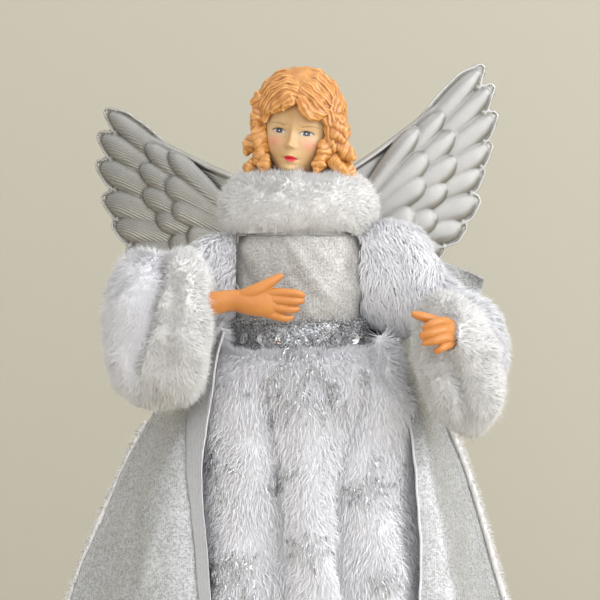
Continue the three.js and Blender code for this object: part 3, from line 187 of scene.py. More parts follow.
# The waist's height and half widths, the hem's height and half widths, and how far the fur stands off.
waist, waist_x, waist_y = 240.0, 36.23, 30.284
hem, hem_x, hem_front, hem_back = 3.0, 99, 88, 78
off_waist = 4.4
folds, fold_depth = 10, 5
# Height as a share of the waist's, then how far the sides, the front and the back have spread.
skirt_shares = [
    [1, 0, 0, 0],
    [0.994, 0.002, 0.002, 0.002],
    [0.975, 0.126, 0.109, 0.054],
    [0.933, 0.195, 0.194, 0.123],
    [0.796, 0.298, 0.306, 0.238],
    [0.625, 0.469, 0.475, 0.423],
    [0.429, 0.674, 0.644, 0.631],
    [0.208, 0.863, 0.85, 0.838],
    [0, 1, 1, 1],
]


def read(table, where):
    """Reads a table, whose rows are led by a falling number, at each of the given numbers. Between two
    rows the values follow a cubic, and the slope at a row is the rise between its neighbours."""
    rows = np.asarray(table, float)[::-1]
    x, y = rows[:, 0], rows[:, 1:]
    slopes = np.empty_like(y)
    slopes[1:-1] = (y[2:] - y[:-2]) / (x[2:] - x[:-2])[:, None]
    slopes[0] = (y[1] - y[0]) / (x[1] - x[0])
    slopes[-1] = (y[-1] - y[-2]) / (x[-1] - x[-2])
    at = np.clip(where, x[0], x[-1])
    i = np.clip(np.searchsorted(x, at) - 1, 0, len(x) - 2)
    span = (x[i + 1] - x[i])[:, None]
    t = ((at - x[i]) / (x[i + 1] - x[i]))[:, None]
    return (
        (2 * t**3 - 3 * t**2 + 1) * y[i]
        + (t**3 - 2 * t**2 + t) * span * slopes[i]
        + (3 * t**2 - 2 * t**3) * y[i + 1]
        + (t**3 - t**2) * span * slopes[i + 1]
    )


def skirt_radius(a, z):
    """The skirt's outside radius in the direction a, which is 0 at the front, at height z: an ellipse
    whose half widths follow the table, plus ten cosine folds that fade out towards the waist."""
    share = read(skirt_shares, np.ravel(z) / waist)
    wide, front, back = (share[:, i].reshape(np.shape(z)) for i in range(3))
    half_x = waist_x + off_waist + (hem_x - waist_x - off_waist) * wide
    half_y = np.where(
        np.cos(a) > 0,
        waist_y + off_waist + (hem_front - waist_y - off_waist) * front,
        waist_y + off_waist + (hem_back - waist_y - off_waist) * back,
    )
    level = 1 / np.hypot(np.sin(a) / half_x, np.cos(a) / half_y)
    depth = fold_depth * np.minimum(1, 2.2 * np.clip(1 - z / waist, 0, 1))
    return level + depth * (np.cos(folds * (a - math.radians(5))) - 0.4)


def noise(points, size, seed):
    """Smooth noise from -1 to 1 with bumps of about the given size: a quarter of the sum of eight sine
    waves that run in random directions."""
    dice = np.random.default_rng(seed)
    total = 0
    for _ in range(8):
        way = dice.normal(size=3)
        way *= dice.uniform(0.6, 1.5) * 2 * np.pi / size / np.linalg.norm(way)
        total = total + np.sin(points @ way + dice.uniform(0, 2 * np.pi))
    return total / 4


def skirt_grid(inset, rows, cols, lively):
    """The skirt's surface, inset from its outline. The radius is moved by two sizes of noise and by
    creases and swells, each its depth times exp(-((angle - place) / width) ** 2)."""
    a = np.linspace(0, 2 * np.pi, cols, endpoint=False)[None]
    z = (waist - 0.7) + (hem - waist + 0.7) * np.linspace(0, 1, rows)[:, None] ** 1.15
    a, z = np.broadcast_arrays(a, z)
    r = skirt_radius(a, z) - inset
    flat = np.stack([r * np.sin(a), -r * np.cos(a), z], axis=-1)
    lump = noise(flat, 26, 3) * 1.1 + noise(flat, 12, 4) * 0.5
    r = r + lively * lump * np.minimum(1, (waist - z) / 20)
    turned = (a + np.pi) % (2 * np.pi) - np.pi
    low = np.clip((232 - z) / 20, 0, 1)
    left_fold = np.interp(z, [60, 130, 180, 225], [-0.05, -0.11, -0.27, -0.46])
    right_fold = np.interp(z, [60, 108, 170, 215], [0.33, 0.36, 0.44, 0.78])
    creases = [
        (left_fold, -5.2, 0.1),
        (right_fold, -4.8, 0.09),
        ((left_fold + right_fold) / 2, 1.8, 0.15),
        (left_fold - 0.3, 1.6, 0.14),
        (-0.86, 5.5, 0.2),
        (1.03, 5.0, 0.2),
    ]
    for fold, depth, width in creases:
        r = r + low * depth * np.exp(-(((turned - fold) / width) ** 2))
    r = r + 10.5 * np.exp(-(((turned - 1.13) / 0.36) ** 2) - ((z - 213) / 26) ** 2)
    r = r + 3.0 * np.exp(-(((turned + 1.25) / 0.4) ** 2) - ((z - 222) / 24) ** 2)
    return np.stack([r * np.sin(a), -r * np.cos(a), z], axis=-1)


# A form is (points, four-cornered faces, three-cornered faces), with its faces turned outwards.
no_faces = np.zeros((0, 3), int)


def volume(points, tris):
    """Six times the volume inside triangles: the sum of a . (b x c) over their corners a, b and c."""
    a, b, c = (points[tris[:, i]] for i in range(3))
    return np.einsum("ij,ij->", a, np.cross(b, c))


def outwards(points, quads, tris):
    """The form, with its faces turned round where the volume inside them comes out negative."""
    if volume(points, np.vstack([quads[:, :3], quads[:, [0, 2, 3]], tris])) < 0:
        quads, tris = quads[:, ::-1], tris[:, ::-1]
    return points, quads, tris


def normals_of(grid, around=False):
    """Unit normals of a grid of points: its slope across the columns times its slope down the rows, as
    a cross product, divided by the length of that."""
    if around:
        across = np.roll(grid, -1, axis=1) - np.roll(grid, 1, axis=1)
    else:
        across = np.gradient(grid, axis=1)
    facing = np.cross(across, np.gradient(grid, axis=0))
    return facing / np.maximum(np.linalg.norm(facing, axis=2, keepdims=True), 1e-9)


def cloth(grid, thickness, around=False):
    """Cloth of even thickness: the grid moved half the thickness along its normals to either side,
    with the two faces joined along every free edge."""
    rows, cols = grid.shape[:2]
    lift = normals_of(grid, around) * thickness / 2
    points = np.vstack([(grid + lift).reshape(-1, 3), (grid - lift).reshape(-1, 3)])
    index = np.arange(rows * cols).reshape(rows, cols)
    if around:
        index = np.hstack([index, index[:, :1]])
    a, b, c, d = index[:-1, :-1], index[:-1, 1:], index[1:, 1:], index[1:, :-1]
    back = rows * cols
    parts = [np.stack([a, b, c, d], -1).reshape(-1, 4), np.stack([d, c, b, a], -1).reshape(-1, 4) + back]
    edges = [index[0, ::-1], index[-1]]
    if not around:
        edges += [index[:, 0], index[::-1, -1]]
    for edge in edges:
        p, q = edge[:-1], edge[1:]
        parts.append(np.stack([q, p, p + back, q + back], -1)[:, ::-1])
    return outwards(points, np.vstack(parts), no_faces)


def build(name, form, mat, body, replaces=(), uv=None):
    """Makes an object of a form, gives it its finish and lets it ride on its body."""
    points, quads, tris = form
    mesh = bpy.data.meshes.new(name)
    mesh.vertices.add(len(points))
    mesh.vertices.foreach_set("co", (np.asarray(points) / 1000).astype(np.float32).ravel())
    corners = np.concatenate([quads.ravel(), tris.ravel()]).astype(np.int32)
    starts = np.concatenate([np.arange(len(quads)) * 4, len(quads) * 4 + np.arange(len(tris)) * 3])
    mesh.loops.add(len(corners))
    mesh.loops.foreach_set("vertex_index", corners)
    mesh.polygons.add(len(starts))
    mesh.polygons.foreach_set("loop_start", starts.astype(np.int32))
    mesh.update(calc_edges=True)
    mesh.polygons.foreach_set("use_smooth", np.ones(len(starts), bool))
    if uv is not None:
        layer = mesh.uv_layers.new(name="OFBake")
        layer.data.foreach_set("uv", uv[corners].astype(np.float32).ravel())
    mesh.materials.append(mat)
    piece = bpy.data.objects.new(name, mesh)
    scene.collection.objects.link(piece)
    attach(piece, body)
    if replaces:
        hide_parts(*replaces)
    return piece


def scatter(grid, count, around=True, weight=None, centre=None):
    """Random places on a grid, with the way that the surface faces there. A cell's chance is its area
    times its weight, and the place in it is the mean of its corners by two random shares."""
    if around:
        grid = np.concatenate([grid, grid[:, :1]], axis=1)
    facing = normals_of(grid)
    if around:
        facing[:, 0] = facing[:, -1] = facing[:, 0] + facing[:, -1]
    middle = grid.mean(1, keepdims=True) if centre is None else np.asarray(centre, float)
    sign = np.sign(np.einsum("ijk,ijk->ij", facing, grid - middle))
    facing = facing * np.where(sign == 0, 1, sign)[..., None]
    sides = grid[1:, :-1] - grid[:-1, :-1], grid[:-1, 1:] - grid[:-1, :-1]
    area = np.linalg.norm(np.cross(*sides), axis=2)
    if weight is not None:
        area = area * weight(grid[:-1, :-1])
    chance = np.cumsum(area.ravel())
    cell = np.searchsorted(chance, rng.uniform(0, chance[-1], count))
    i, j = np.unravel_index(np.minimum(cell, area.size - 1), area.shape)
    u, v = rng.uniform(size=(2, count, 1))

    def between(values):
        """Mixes the values at a cell's corners by the shares u across it and v down it."""
        low = values[i, j] * (1 - u) + values[i, j + 1] * u
        high = values[i + 1, j] * (1 - u) + values[i + 1, j + 1] * u
        return low * (1 - v) + high * v

    way = between(facing)
    return between(grid), way / np.maximum(np.linalg.norm(way, axis=1, keepdims=True), 1e-9)


def spikes(roots, facing, comb, length, width, lean=(0.3, 0.9), curl=0.25, tuft=8.0, bent=False, seed=1,
           sway=0.7):
    """One closed three-sided spike for each root. Its first half runs along facing * (1 - s) + lay * s
    with s the first share of lean, and its second half with the last share. Lay is the combed way,
    swung sideways by noise the size of a tuft times sway, and by curl for each strand alone."""
    count = len(roots)
    comb = np.broadcast_to(np.asarray(comb, float), roots.shape)
    comb = comb - facing * np.einsum("ij,ij->i", comb, facing)[:, None]
    comb = comb / np.maximum(np.linalg.norm(comb, axis=1, keepdims=True), 1e-6)
    cross = np.cross(facing, comb)
    swing = noise(roots, tuft, seed)[:, None] * sway + rng.normal(0, curl, (count, 1))
    lay = comb + cross * swing
    lay /= np.linalg.norm(lay, axis=1, keepdims=True)
    size = length * (1 + 0.25 * noise(roots, tuft, seed + 5)) * rng.uniform(0.7, 1.15, count)
    size = size[:, None]
    jitter = rng.normal(0, 0.12, (count, 3))

    def way(share):
        """The unit direction that is the given share of the way from facing to lay."""
        new = facing * (1 - share) + lay * share + jitter
        return new / np.linalg.norm(new, axis=1, keepdims=True)

    low, high = way(lean[0]), way(lean[1])
    stops = [(roots - low * 0.6, 1.0, 0.0)]
    if bent:
        stops.append((roots + low * size * 0.5, 0.9, 0.5))
    tips = roots + low * size * 0.5 + high * size * 0.5
    b = np.cross(low, lay + 0.01)
    b /= np.maximum(np.linalg.norm(b, axis=1, keepdims=True), 1e-9)
    c = np.cross(low, b)
    rings = []
    for middle, share, _ in stops:
        for k in range(3):
            angle = 2 * np.pi * k / 3
            rings.append(middle + (b * math.cos(angle) + c * math.sin(angle)) * width * share / 2)
    rings.append(tips)
    points = np.stack(rings, axis=1)
    n = points.shape[1]
    faces = [[2, 1, 0]]
    for r in range(len(stops) - 1):
        for k in range(3):
            p, q = r * 3 + k, r * 3 + (k + 1) % 3
            faces += [[p, q, q + 3], [p, q + 3, p + 3]]
    top = (len(stops) - 1) * 3
    faces += [[top, top + 1, n - 1], [top + 1, top + 2, n - 1], [top + 2, top, n - 1]]
    tris = (np.arange(count)[:, None, None] * n + np.array(faces)[None]).reshape(-1, 3)
    column = np.round(rng.uniform(0.005, 0.985, count), 4)[:, None]
    corner = np.array([0, 0.005, 0.01] * len(stops) + [0.005])[None]
    height = np.array([v for _, _, v in stops for _ in range(3)] + [1.0])
    uv = np.stack([column + corner, np.broadcast_to(height * 0.98 + 0.01, (count, n))], axis=-1)
    return (points.reshape(-1, 3), np.zeros((0, 4), int), tris), uv.reshape(-1, 2)


def fur(name, spots, comb, length, width, mat, body, slot, keep=None, scattered=0.1, frontal=0.0, **style):
    """Spikes on the spots that keep leaves. Each is shaded as the surface below it, with a normal that
    is facing, turned to the front by the frontal share, plus random scatter."""
    roots, facing = spots
    if keep is not None:
        inside = keep(roots)
        roots, facing = roots[inside], facing[inside]
        if np.ndim(comb) == 2:
            comb = comb[inside]
    form, uv = spikes(roots, facing, comb, length, width, **style)
    piece = build(name, form, mat, body, uv=uv)
    each = len(form[0]) // len(roots)
    share = frontal * np.clip(0.4 - 2 * facing[:, 1:2], 0, 1)
    soft_way = facing * (1 - share) + share * [0, -1, 0.15] + rng.normal(0, scattered, facing.shape)
    soft_way /= np.linalg.norm(soft_way, axis=1, keepdims=True)
    piece.data.normals_split_custom_set_from_vertices(np.repeat(soft_way, each, axis=0).tolist())
    return piece


skirt_back = skirt_grid(2.4, 50, 160, 0.8)
skirt_cloth = build("skirt_backing", cloth(skirt_back, 2.0, around=True), pile_back, "figure",
                    ["skirt"])


def seen_more(points):
    """More pile where the open coat lets the skirt show: 1 within 1.5 radians of the front, 0.12 behind."""
    a = np.arctan2(points[..., 0], -points[..., 1])
    return np.where(np.abs(a) < 1.5, 1.0, 0.12)


# The pile is 8 mm long. Strands are half a millimetre thick, coarser than real ones, so that they show.
skirt_face = skirt_grid(1.4, 120, 360, 0.8)
down = np.array([0, 0, -1.0])
for part, (count, bent) in enumerate([(19500, True), (30000, False), (30000, False)]):
    spots = scatter(skirt_face, count, weight=seen_more)
    fur(f"skirt_pile_{part + 1}", spots, down, 8.0, 0.48, long_pile, "figure", "long_fur",
                          lean=(0.38, 0.92), curl=0.16, tuft=24.0, bent=bent, seed=2, sway=0.3,
                          frontal=0.5, scattered=0.14)
roots, facing = scatter(skirt_face[:4], 3600, weight=seen_more)
fur("skirt_pile_top", (roots, facing + [0, 0, 0.5]), down, 7.0, 0.42, long_pile, "figure",
                      "long_fur", lean=(0.15, 0.85), curl=0.4, tuft=12.0, seed=4, sway=0.6, frontal=0.3,
                      scattered=0.3)

# Foil print: thin silver foil, hot-stamped on the tips of the pile and so broken up into flecks. It has a
# fan of dashes under the belt, snowflakes, and a dense patch at the lower left.

# Aluminium foil, stamped: bright metal, crazed into cells of about a millimetre, each with a painted glint,
# white in its middle and grey towards its edge.
foil, put = finish_of("stamped_silver_foil", Metallic=0.85, Roughness=0.28)
place = add(foil, "TexCoord").outputs["Object"]
cells = add(foil, "TexVoronoi", Vector=place, Scale=900.0)
tone = add(foil, "ValToRGB", {"stops": [(0.1, "#FFFFFF"), (0.6, "#C4C5C8")]}, Fac=cells.outputs["Distance"])
put(Base_Color=tone.outputs["Color"])


def seen_at(points):
    """Where the camera sees points, in pixels: their distance from its axis over the size of a pixel
    at their depth."""
    scale = mm_per_pixel * (points[:, 1] - eye[1]) / camera_away
    across = picture_middle + (points[:, 0] - eye[0]) / scale
    return np.stack([across, picture_middle - (points[:, 2] - eye[2]) / scale], axis=-1)


def flake(x, y, size, turn, spread=0.9):
    """A snowflake: six arms at every sixth of a turn, each with a fork half way out."""
    strokes = []
    for k in range(6):
        way = turn + k * math.pi / 3
        reach = size * rng.uniform(spread, 1)
        strokes.append((x, y, x + reach * math.cos(way), y + reach * math.sin(way), 1.5))
        for fork in (-0.6, 0.6):
            fx, fy = x + 0.5 * reach * math.cos(way), y + 0.5 * reach * math.sin(way)
            strokes.append((fx, fy, fx + 0.3 * size * math.cos(way + fork),
                            fy + 0.3 * size * math.sin(way + fork), 1.1))
    return strokes


# A stroke is where it starts and ends, in pixels of the picture, and its width.
strokes = []
for _ in range(64):
    way = rng.uniform(-0.62, 0.62)
    near = rng.uniform(16, 84) if abs(way) < 0.4 else rng.uniform(16, 55)
    far = near + rng.uniform(5, 16)
    swing = math.sin(way)
    strokes.append((300 + near * swing * 1.1, 340 + near, 300 + far * swing * 1.1, 340 + far, 1.3))
for k in range(-2, 6):
    x, y = 300 + k * 9, 392 + 9 * (k % 3)
    strokes.append((x, y, x + rng.uniform(-2, 2), y + 26, 1.6))
strokes += [(224, 446, 216.5, 466, 1.8), (216.5, 466, 226, 512, 2.0), (231.5, 476, 245, 487, 2.0),
            (219, 470, 214, 482, 1.4)]
strokes += [(258, 502, 299, 483, 2.0), (276, 474, 290, 500, 1.6), (292, 480, 283, 504, 1.3)]
strokes += flake(364, 501, 19, 0.25) + flake(309, 556, 18, 1.45) + flake(384, 593, 15, 0.4)
strokes += [(376, 466, 353, 506, 1.7), (350, 500, 388, 495, 1.7), (372, 511, 386, 519, 1.8),
            (312, 562, 313.5, 586, 2.2)]
strokes += [(361, 381, 367, 395, 3.0), (366, 383, 361, 392, 2.4), (341, 502, 341, 509, 1.5),
            (245, 402, 250, 406, 1.4)]
for _ in range(90):
    x, y = rng.uniform(209, 254), rng.uniform(560, 640)
    strokes.append((x, y, x + rng.uniform(-2, 2), y + rng.uniform(3, 9), 1.7))
strokes = np.array(strokes)


def printed(points):
    """1 where a point, as the camera sees it, is nearer to a stroke's line than half its width."""
    at = seen_at(points)[:, None]
    start, way = strokes[None, :, :2], strokes[None, :, 2:4] - strokes[None, :, :2]
    share = np.clip(((at - start) * way).sum(2) / (way**2).sum(2), 0, 1)
    away = np.linalg.norm(at - start - share[..., None] * way, axis=2)
    return (away < strokes[None, :, 4] * 0.5).any(1) & (points[:, 1] < -15)


roots, facing = scatter(skirt_face, 260000, weight=lambda p: np.where(p[..., 1] < -15, 1.0, 0.0))
chosen = np.concatenate([printed(part) for part in np.array_split(roots, 26)])
chosen &= rng.uniform(size=len(roots)) < 0.42
roots, facing = roots[chosen], facing[chosen]
foil_print = fur("skirt_foil_print", (roots + facing * 4.6 + [0, 0, 4.8], facing), (0, 0, -1.0), 2.8, 0.55,
                 foil, "figure", "silver_lame", lean=(0.75, 1.0), curl=0.5, tuft=24.0, seed=2, sway=0.45,
                 scattered=0.6)

# Cape: the coat's back, one piece of silver cloth that hangs from the shoulders in ripples down to the
# hem. It is stitched to the bodice at the neck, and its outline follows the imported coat_back.


def metal_thread_cloth(name, light, dark, pitch, painted_glint, metal, rough, thread=1.0):
    """Cloth woven with metal threads, pitch metres apart. Ribs one way times finer ones across make the
    weave, each cell of single threads gets a random shade that is painted into the colour as its glint and
    tilts the bump, and clouds 17 mm across tone it."""
    mat, put = finish_of(name, Metallic=metal)
    place = add(mat, "TexCoord").outputs["Object"]
    ribs = add(mat, "TexWave", {"bands_direction": "Z"}, Vector=place, Scale=0.314 / pitch, Distortion=1.0,
               Detail=1.0, Detail_Scale=3.0)
    cross = add(mat, "TexWave", {"bands_direction": "X"}, Vector=place, Scale=0.2 / pitch, Distortion=1.5,
                Detail=1.0)
    painted_glint_cells = add(mat, "TexVoronoi", Vector=place, Scale=0.8 / pitch)
    fleck = add(mat, "SeparateXYZ", Vector=painted_glint_cells.outputs["Color"])
    broad = add(mat, "TexNoise", Vector=place, Scale=60.0, Detail=4.0)
    weave = add(mat, "Math", {"operation": "MULTIPLY"}, i0=ribs.outputs[1], i1=cross.outputs[1])
    plain_weave = add(mat, "Math", {"operation": "MULTIPLY"}, i0=weave.outputs[0], i1=thread)
    mixed = add(mat, "Math", {"operation": "MULTIPLY_ADD"}, i0=fleck.outputs["X"], i1=painted_glint,
                i2=plain_weave.outputs[0])
    cloudy = add(mat, "Math", {"operation": "MULTIPLY_ADD"}, i0=broad.outputs[0], i1=0.35,
                 i2=mixed.outputs[0])
    tone = add(mat, "ValToRGB", {"stops": [(0.1, dark), (0.9, light)]}, Fac=cloudy.outputs[0])
    shine = add(mat, "Math", {"operation": "MULTIPLY_ADD"}, i0=fleck.outputs["Y"], i1=-0.25, i2=rough)
    bump = add(mat, "Bump", Height=mixed.outputs[0], Strength=0.35 + 0.35 * thread, Distance=0.00025)
    put(Base_Color=tone.outputs["Color"], Roughness=shine.outputs[0], Normal=bump.outputs[0])
    return mat


# Polyester woven with metal thread: a grey cloth whose single points glitter, as painted glints in its
# colour. Real threads are about 0.25 mm apart, and they are drawn 0.7 mm apart so that they show.
coat_cloth = metal_thread_cloth("woven_metal_thread_coating", "#B8B9BA", "#83847F", 0.0007, 0.75, 0.22, 0.5,
                                thread=0.35)

cape_top = 301.5
belt_top = 17
coat_off_belt, clearance = 2.7, 1.1


def dress_radius(a, z):
    """The radius of what the coat lies on: an ellipse round the bodice and the belt, or the skirt, with
    the larger one taken just above the waist."""
    on_belt = np.where(z < waist + belt_top + 1.6, coat_off_belt, 0)
    dress = 1 / np.hypot(np.sin(a) / (waist_x + on_belt), np.cos(a) / (waist_y + on_belt))
    low = skirt_radius(a, np.minimum(z, waist))
    fade = np.clip((z - waist) / 21.25, 0, 1)
    over = np.maximum(dress, low + (dress - low) * fade)
    return np.where(z <= waist, low, over)


def clear_of_dress(grid):
    """The grid with its radius raised, where it is less, to the dress's radius and the clearance."""
    a = np.arctan2(grid[..., 0], -grid[..., 1])
    r = np.hypot(grid[..., 0], grid[..., 1])
    slack = np.where(grid[..., 2] < waist + belt_top, 0.8, 0)
    least = dress_radius(a, grid[..., 2]) + clearance + slack
    push = np.maximum(1, least / r)
    return grid * np.stack([push, push, np.ones_like(push)], axis=-1)


# Height as a share of the cape's top, then x and y of five places across the cape from left to right,
# as shares of 130 and 86 mm.
cape_shares = [
    [1, -0.231, 0.221, -0.123, 0.314, 0, 0.349, 0.123, 0.314, 0.231, 0.221],
    [0.942, -0.277, 0.233, -0.154, 0.314, 0, 0.349, 0.154, 0.314, 0.277, 0.233],
    [0.896, -0.323, 0.221, -0.2, 0.314, 0, 0.349, 0.2, 0.314, 0.338, 0.221],
    [0.833, -0.4, 0.198, -0.262, 0.349, 0, 0.384, 0.262, 0.349, 0.438, 0.209],
    [0.713, -0.569, 0.093, -0.385, 0.488, 0, 0.581, 0.385, 0.488, 0.554, 0.151],
    [0.577, -0.723, 0.023, -0.492, 0.605, 0, 0.709, 0.492, 0.605, 0.677, 0.093],
    [0.342, -0.931, -0.116, -0.662, 0.791, 0, 0.895, 0.646, 0.791, 0.823, 0],
    [0.166, -0.977, -0.186, -0.723, 0.872, 0, 0.965, 0.723, 0.872, 0.931, -0.07],
    [0, -0.992, -0.209, -0.746, 0.907, 0, 1, 0.746, 0.907, 0.992, -0.116],
]


def spline(rows, count):
    """A smooth line through rows of numbers, read at evenly spaced shares: cubic pieces whose slope at
    each row is half the step between its neighbours."""
    rows = np.asarray(rows, float)
    last = len(rows) - 1
    t = np.linspace(0, last, count)
    i = np.minimum(t.astype(int), last - 1)
    w = (t - i)[:, None]
    p0, p1, p2, p3 = rows[np.maximum(i - 1, 0)], rows[i], rows[i + 1], rows[np.minimum(i + 2, last)]
    v0, v1 = (p2 - p0) / 2, (p3 - p1) / 2
    return (2 * p1 - 2 * p2 + v0 + v1) * w**3 + (-3 * p1 + 3 * p2 - 2 * v0 - v1) * w**2 + v0 * w + p1


def swept(places, waves, heights):
    """Rows of points, each along a smooth line through x, y places and moved outwards by a wave."""
    rows = []
    cols = waves.shape[1]
    for place, wave, z in zip(places, waves, heights):
        line = spline(place.reshape(-1, 2), cols)
        out = line / np.linalg.norm(line, axis=1, keepdims=True)
        rows.append(np.column_stack([line + wave[:, None] * out, np.full(cols, z)]))
    return np.array(rows)


def cape_grid(cols, heights):
    """The cape's surface: lines through the table's places, with ripples of 3 * cos(10 pi u)."""
    v = ((cape_top - heights) / (cape_top - hem))[:, None]
    u = np.linspace(0, 1, cols)[None]
    places = read(cape_shares, heights / cape_top) * np.array([130, 86] * 5)
    waves = 3 * np.clip(2 * (v - 0.2), 0, 1) * np.cos(10 * np.pi * u)
    return clear_of_dress(swept(places, waves, heights))


heights = np.linspace(cape_top, hem, 80)
cape = cape_grid(120, heights)
cape += normals_of(cape) * 0.5 * noise(cape * [1, 1, 0.35], 24, 8)[..., None]
cape_piece = build("cape", cloth(cape, 1.2), coat_cloth, "figure", ["coat_back"])

# Coat fronts: two panels of the same cloth, sewn to the cape's side edges and left open over the skirt.
# Satin piping is sewn on the inner edge, the hem is stitched by the seam, and the left edge is turned back.

# Polyester satin, woven and pressed: smooth and greyish, with a soft sheen. Its threads are a tenth of a
# millimetre apart, and they are drawn 0.5 mm apart so that they show.
satin = metal_thread_cloth("pressed_grey_satin", "#A6A6A5", "#909090", 0.0005, 0.2, 0.1, 0.5)
piping_cloth = metal_thread_cloth("pressed_white_satin", "#E6E6E8", "#CDCDD0", 0.0005, 0.2, 0.1, 0.5)


def seam_line(side, heights):
    """Where a front is sewn on: the cape's side edge, moved on by 1.7 mm the way the cape runs there."""
    cape = cape_grid(101, heights)
    edge, before = (cape[:, 0], cape[:, 3]) if side < 0 else (cape[:, -1], cape[:, -4])
    ahead = edge - before
    return edge + ahead / np.linalg.norm(ahead, axis=1, keepdims=True) * 1.7


def panel_grid(side, shares, cols, rows, crumple):
    """A front's surface: lines from the table's places to the seam, moved outwards by one ripple of
    3 * sin(2 pi u) and by crumples, which are two sizes of noise."""
    heights = np.linspace(shares[0][0] * cape_top, hem, rows)
    v = np.linspace(0, 1, rows)[:, None]
    u = np.linspace(0, 1, cols)[None]
    seam = seam_line(side, heights)[:, :2]
    front = read(shares, heights / cape_top) * np.array([130, 93, 130, 93])
    waves = 3 * np.minimum(1, 2 * v) * np.sin(2 * np.pi * u)
    flat = swept(np.hstack([front, seam]), waves * 0, heights)
    stretched = flat * np.array([1, 1, 0.3])
    waves = waves + crumple * noise(stretched, 22, 31 + side) + crumple * 0.4 * noise(flat, 16, 33 + side)
    return clear_of_dress(swept(np.hstack([front, seam]), waves, heights))


# Height as a share of the cape's top, then x and y of the inner edge and of the middle, as shares of
# 130 and 93 mm.
left_shares = [
    [0.833, -0.312, -0.237, -0.331, -0.151],
    [0.779, -0.346, -0.312, -0.408, -0.194],
    [0.736, -0.358, -0.366, -0.446, -0.215],
    [0.577, -0.4, -0.495, -0.577, -0.43],
    [0.342, -0.354, -0.731, -0.646, -0.667],
    [0.166, -0.354, -0.914, -0.692, -0.817],
    [0, -0.354, -1, -0.708, -0.903],
]
right_shares = [
    [0.819, 0.415, -0.151, 0.438, -0.022],
    [0.713, 0.446, -0.258, 0.5, -0.129],
    [0.577, 0.485, -0.387, 0.585, -0.258],
    [0.342, 0.492, -0.602, 0.669, -0.473],
    [0.166, 0.462, -0.753, 0.754, -0.624],
    [0, 0.446, -0.903, 0.8, -0.753],
]
left_panel = panel_grid(-1, left_shares, 80, 80, 0.7)
right_panel = panel_grid(1, right_shares, 66, 80, 0.7)
left_front = build("coat_front_left", cloth(left_panel, 1.2), coat_cloth, "figure",
                   ["coat_left_panel"])
right_front = build("coat_front_right", cloth(right_panel, 1.2), coat_cloth, "figure",
                    ["coat_right_panel"])


def lifted(grid, by):
    """The grid moved by a distance along its normals, turned so that they point away from the axis."""
    facing = normals_of(grid)
    sign = np.sign(facing[..., 0] * grid[..., 0] + facing[..., 1] * grid[..., 1])
    return grid + facing * sign[..., None] * by


def skin(rings, closed=False):
    """A skin over rings of points: each face joins two neighbours on a ring to the same two on the next
    one. It is closed by fans to the middle of both ends, or round a loop."""
    rows, cols = rings.shape[:2]
    index = np.arange(rows * cols).reshape(rows, cols)
    if closed:
        index = np.vstack([index, index[:1]])
    ahead = np.roll(index, -1, axis=1)
    quads = np.stack([index[:-1], ahead[:-1], ahead[1:], index[1:]], axis=-1).reshape(-1, 4)
    points, tris = rings.reshape(-1, 3), no_faces
    if not closed:
        points = np.vstack([points, rings[0].mean(0), rings[-1].mean(0)])
        first = np.stack([ahead[0], index[0], np.full(cols, rows * cols)], axis=-1)
        last = np.stack([index[-1], ahead[-1], np.full(cols, rows * cols + 1)], axis=-1)
        tris = np.vstack([first, last])
    return outwards(points, quads, tris)


def tube(stations, steps, sides, up=(0, 0, 1), shape=None):
    """A limb through stations of x, y, z, half width and half height. A ring is its centre plus
    side * width * cos(a) plus top * height * sin(a), times a shape, and three rings that shrink as
    the root of 1 - share ** 2 round off each end."""
    line = spline(stations, steps)
    centre, half = line[:, :3], line[:, 3:]
    ahead = np.gradient(centre, axis=0)
    ahead /= np.linalg.norm(ahead, axis=1, keepdims=True)
    side = np.cross(ahead, np.broadcast_to(np.asarray(up, float), ahead.shape))
    side /= np.linalg.norm(side, axis=1, keepdims=True)
    top = np.cross(side, ahead)
    a = np.linspace(0, 2 * np.pi, sides, endpoint=False)
    t = np.linspace(0, 1, steps)
    swell = np.ones((steps, sides)) if shape is None else shape(t[:, None], a[None, :])
    x = (half[:, :1] * np.cos(a) * swell)[..., None] * side[:, None]
    z = (half[:, -1:] * np.sin(a) * swell)[..., None] * top[:, None]
    rings = centre[:, None] + x + z
    ends = []
    for at, sign in ((0, -1), (-1, 1)):
        size = min(half[at, 0], half[at, -1])
        for share in (0.5, 0.85, 0.98):
            shrink = math.sqrt(1 - share**2)
            middle = centre[at] + sign * ahead[at] * size * share * 0.8
            ends.append((at, sign, share, middle + (rings[at] - centre[at]) * shrink))
    front = [e[3] for e in ends if e[1] < 0][::-1]
    back = [e[3] for e in ends if e[1] > 0]
    return skin(np.vstack([np.array(front), rings, np.array(back)]))


edges = {"left": [], "right": []}
for side, panel in (("left", left_panel), ("right", right_panel)):
    kinds = (("piping", 0, 0.75, 0.2, piping_cloth), ("hem_stitch", -6, 0.4, 0.6, coat_cloth))
    for edge, at, radius, height, mat in kinds:
        line = lifted(panel, height)[:, at]
        form = tube(np.column_stack([line, np.full((len(line), 2), radius)]), 150, 8, up=(0, 1, 0))
        edges[side].append(build(f"coat_{side}_{edge}", form, mat, "figure"))
# The turned edge covers a growing share of the left front from the hem up.
heights, shares = [hem, 120, 158, 185, 213, 240], [0.1, 0.1, 0.12, 0.2, 0.36, 0.5]
share = np.interp(left_panel[:, 0, 2], heights, shares)[:, None]
across = share * np.linspace(0, 1, 12)[None] * (left_panel.shape[1] - 1)
low = np.floor(across).astype(int)
rows = np.arange(len(left_panel))[:, None]
upper = lifted(left_panel, 1.3)
turned_strip = upper[rows, low] + (upper[rows, low + 1] - upper[rows, low]) * (across - low)[..., None]
turned_edge = cloth(turned_strip[10:], 0.7)
edges["left"].append(build("coat_left_turned_edge", turned_edge, satin, "figure"))

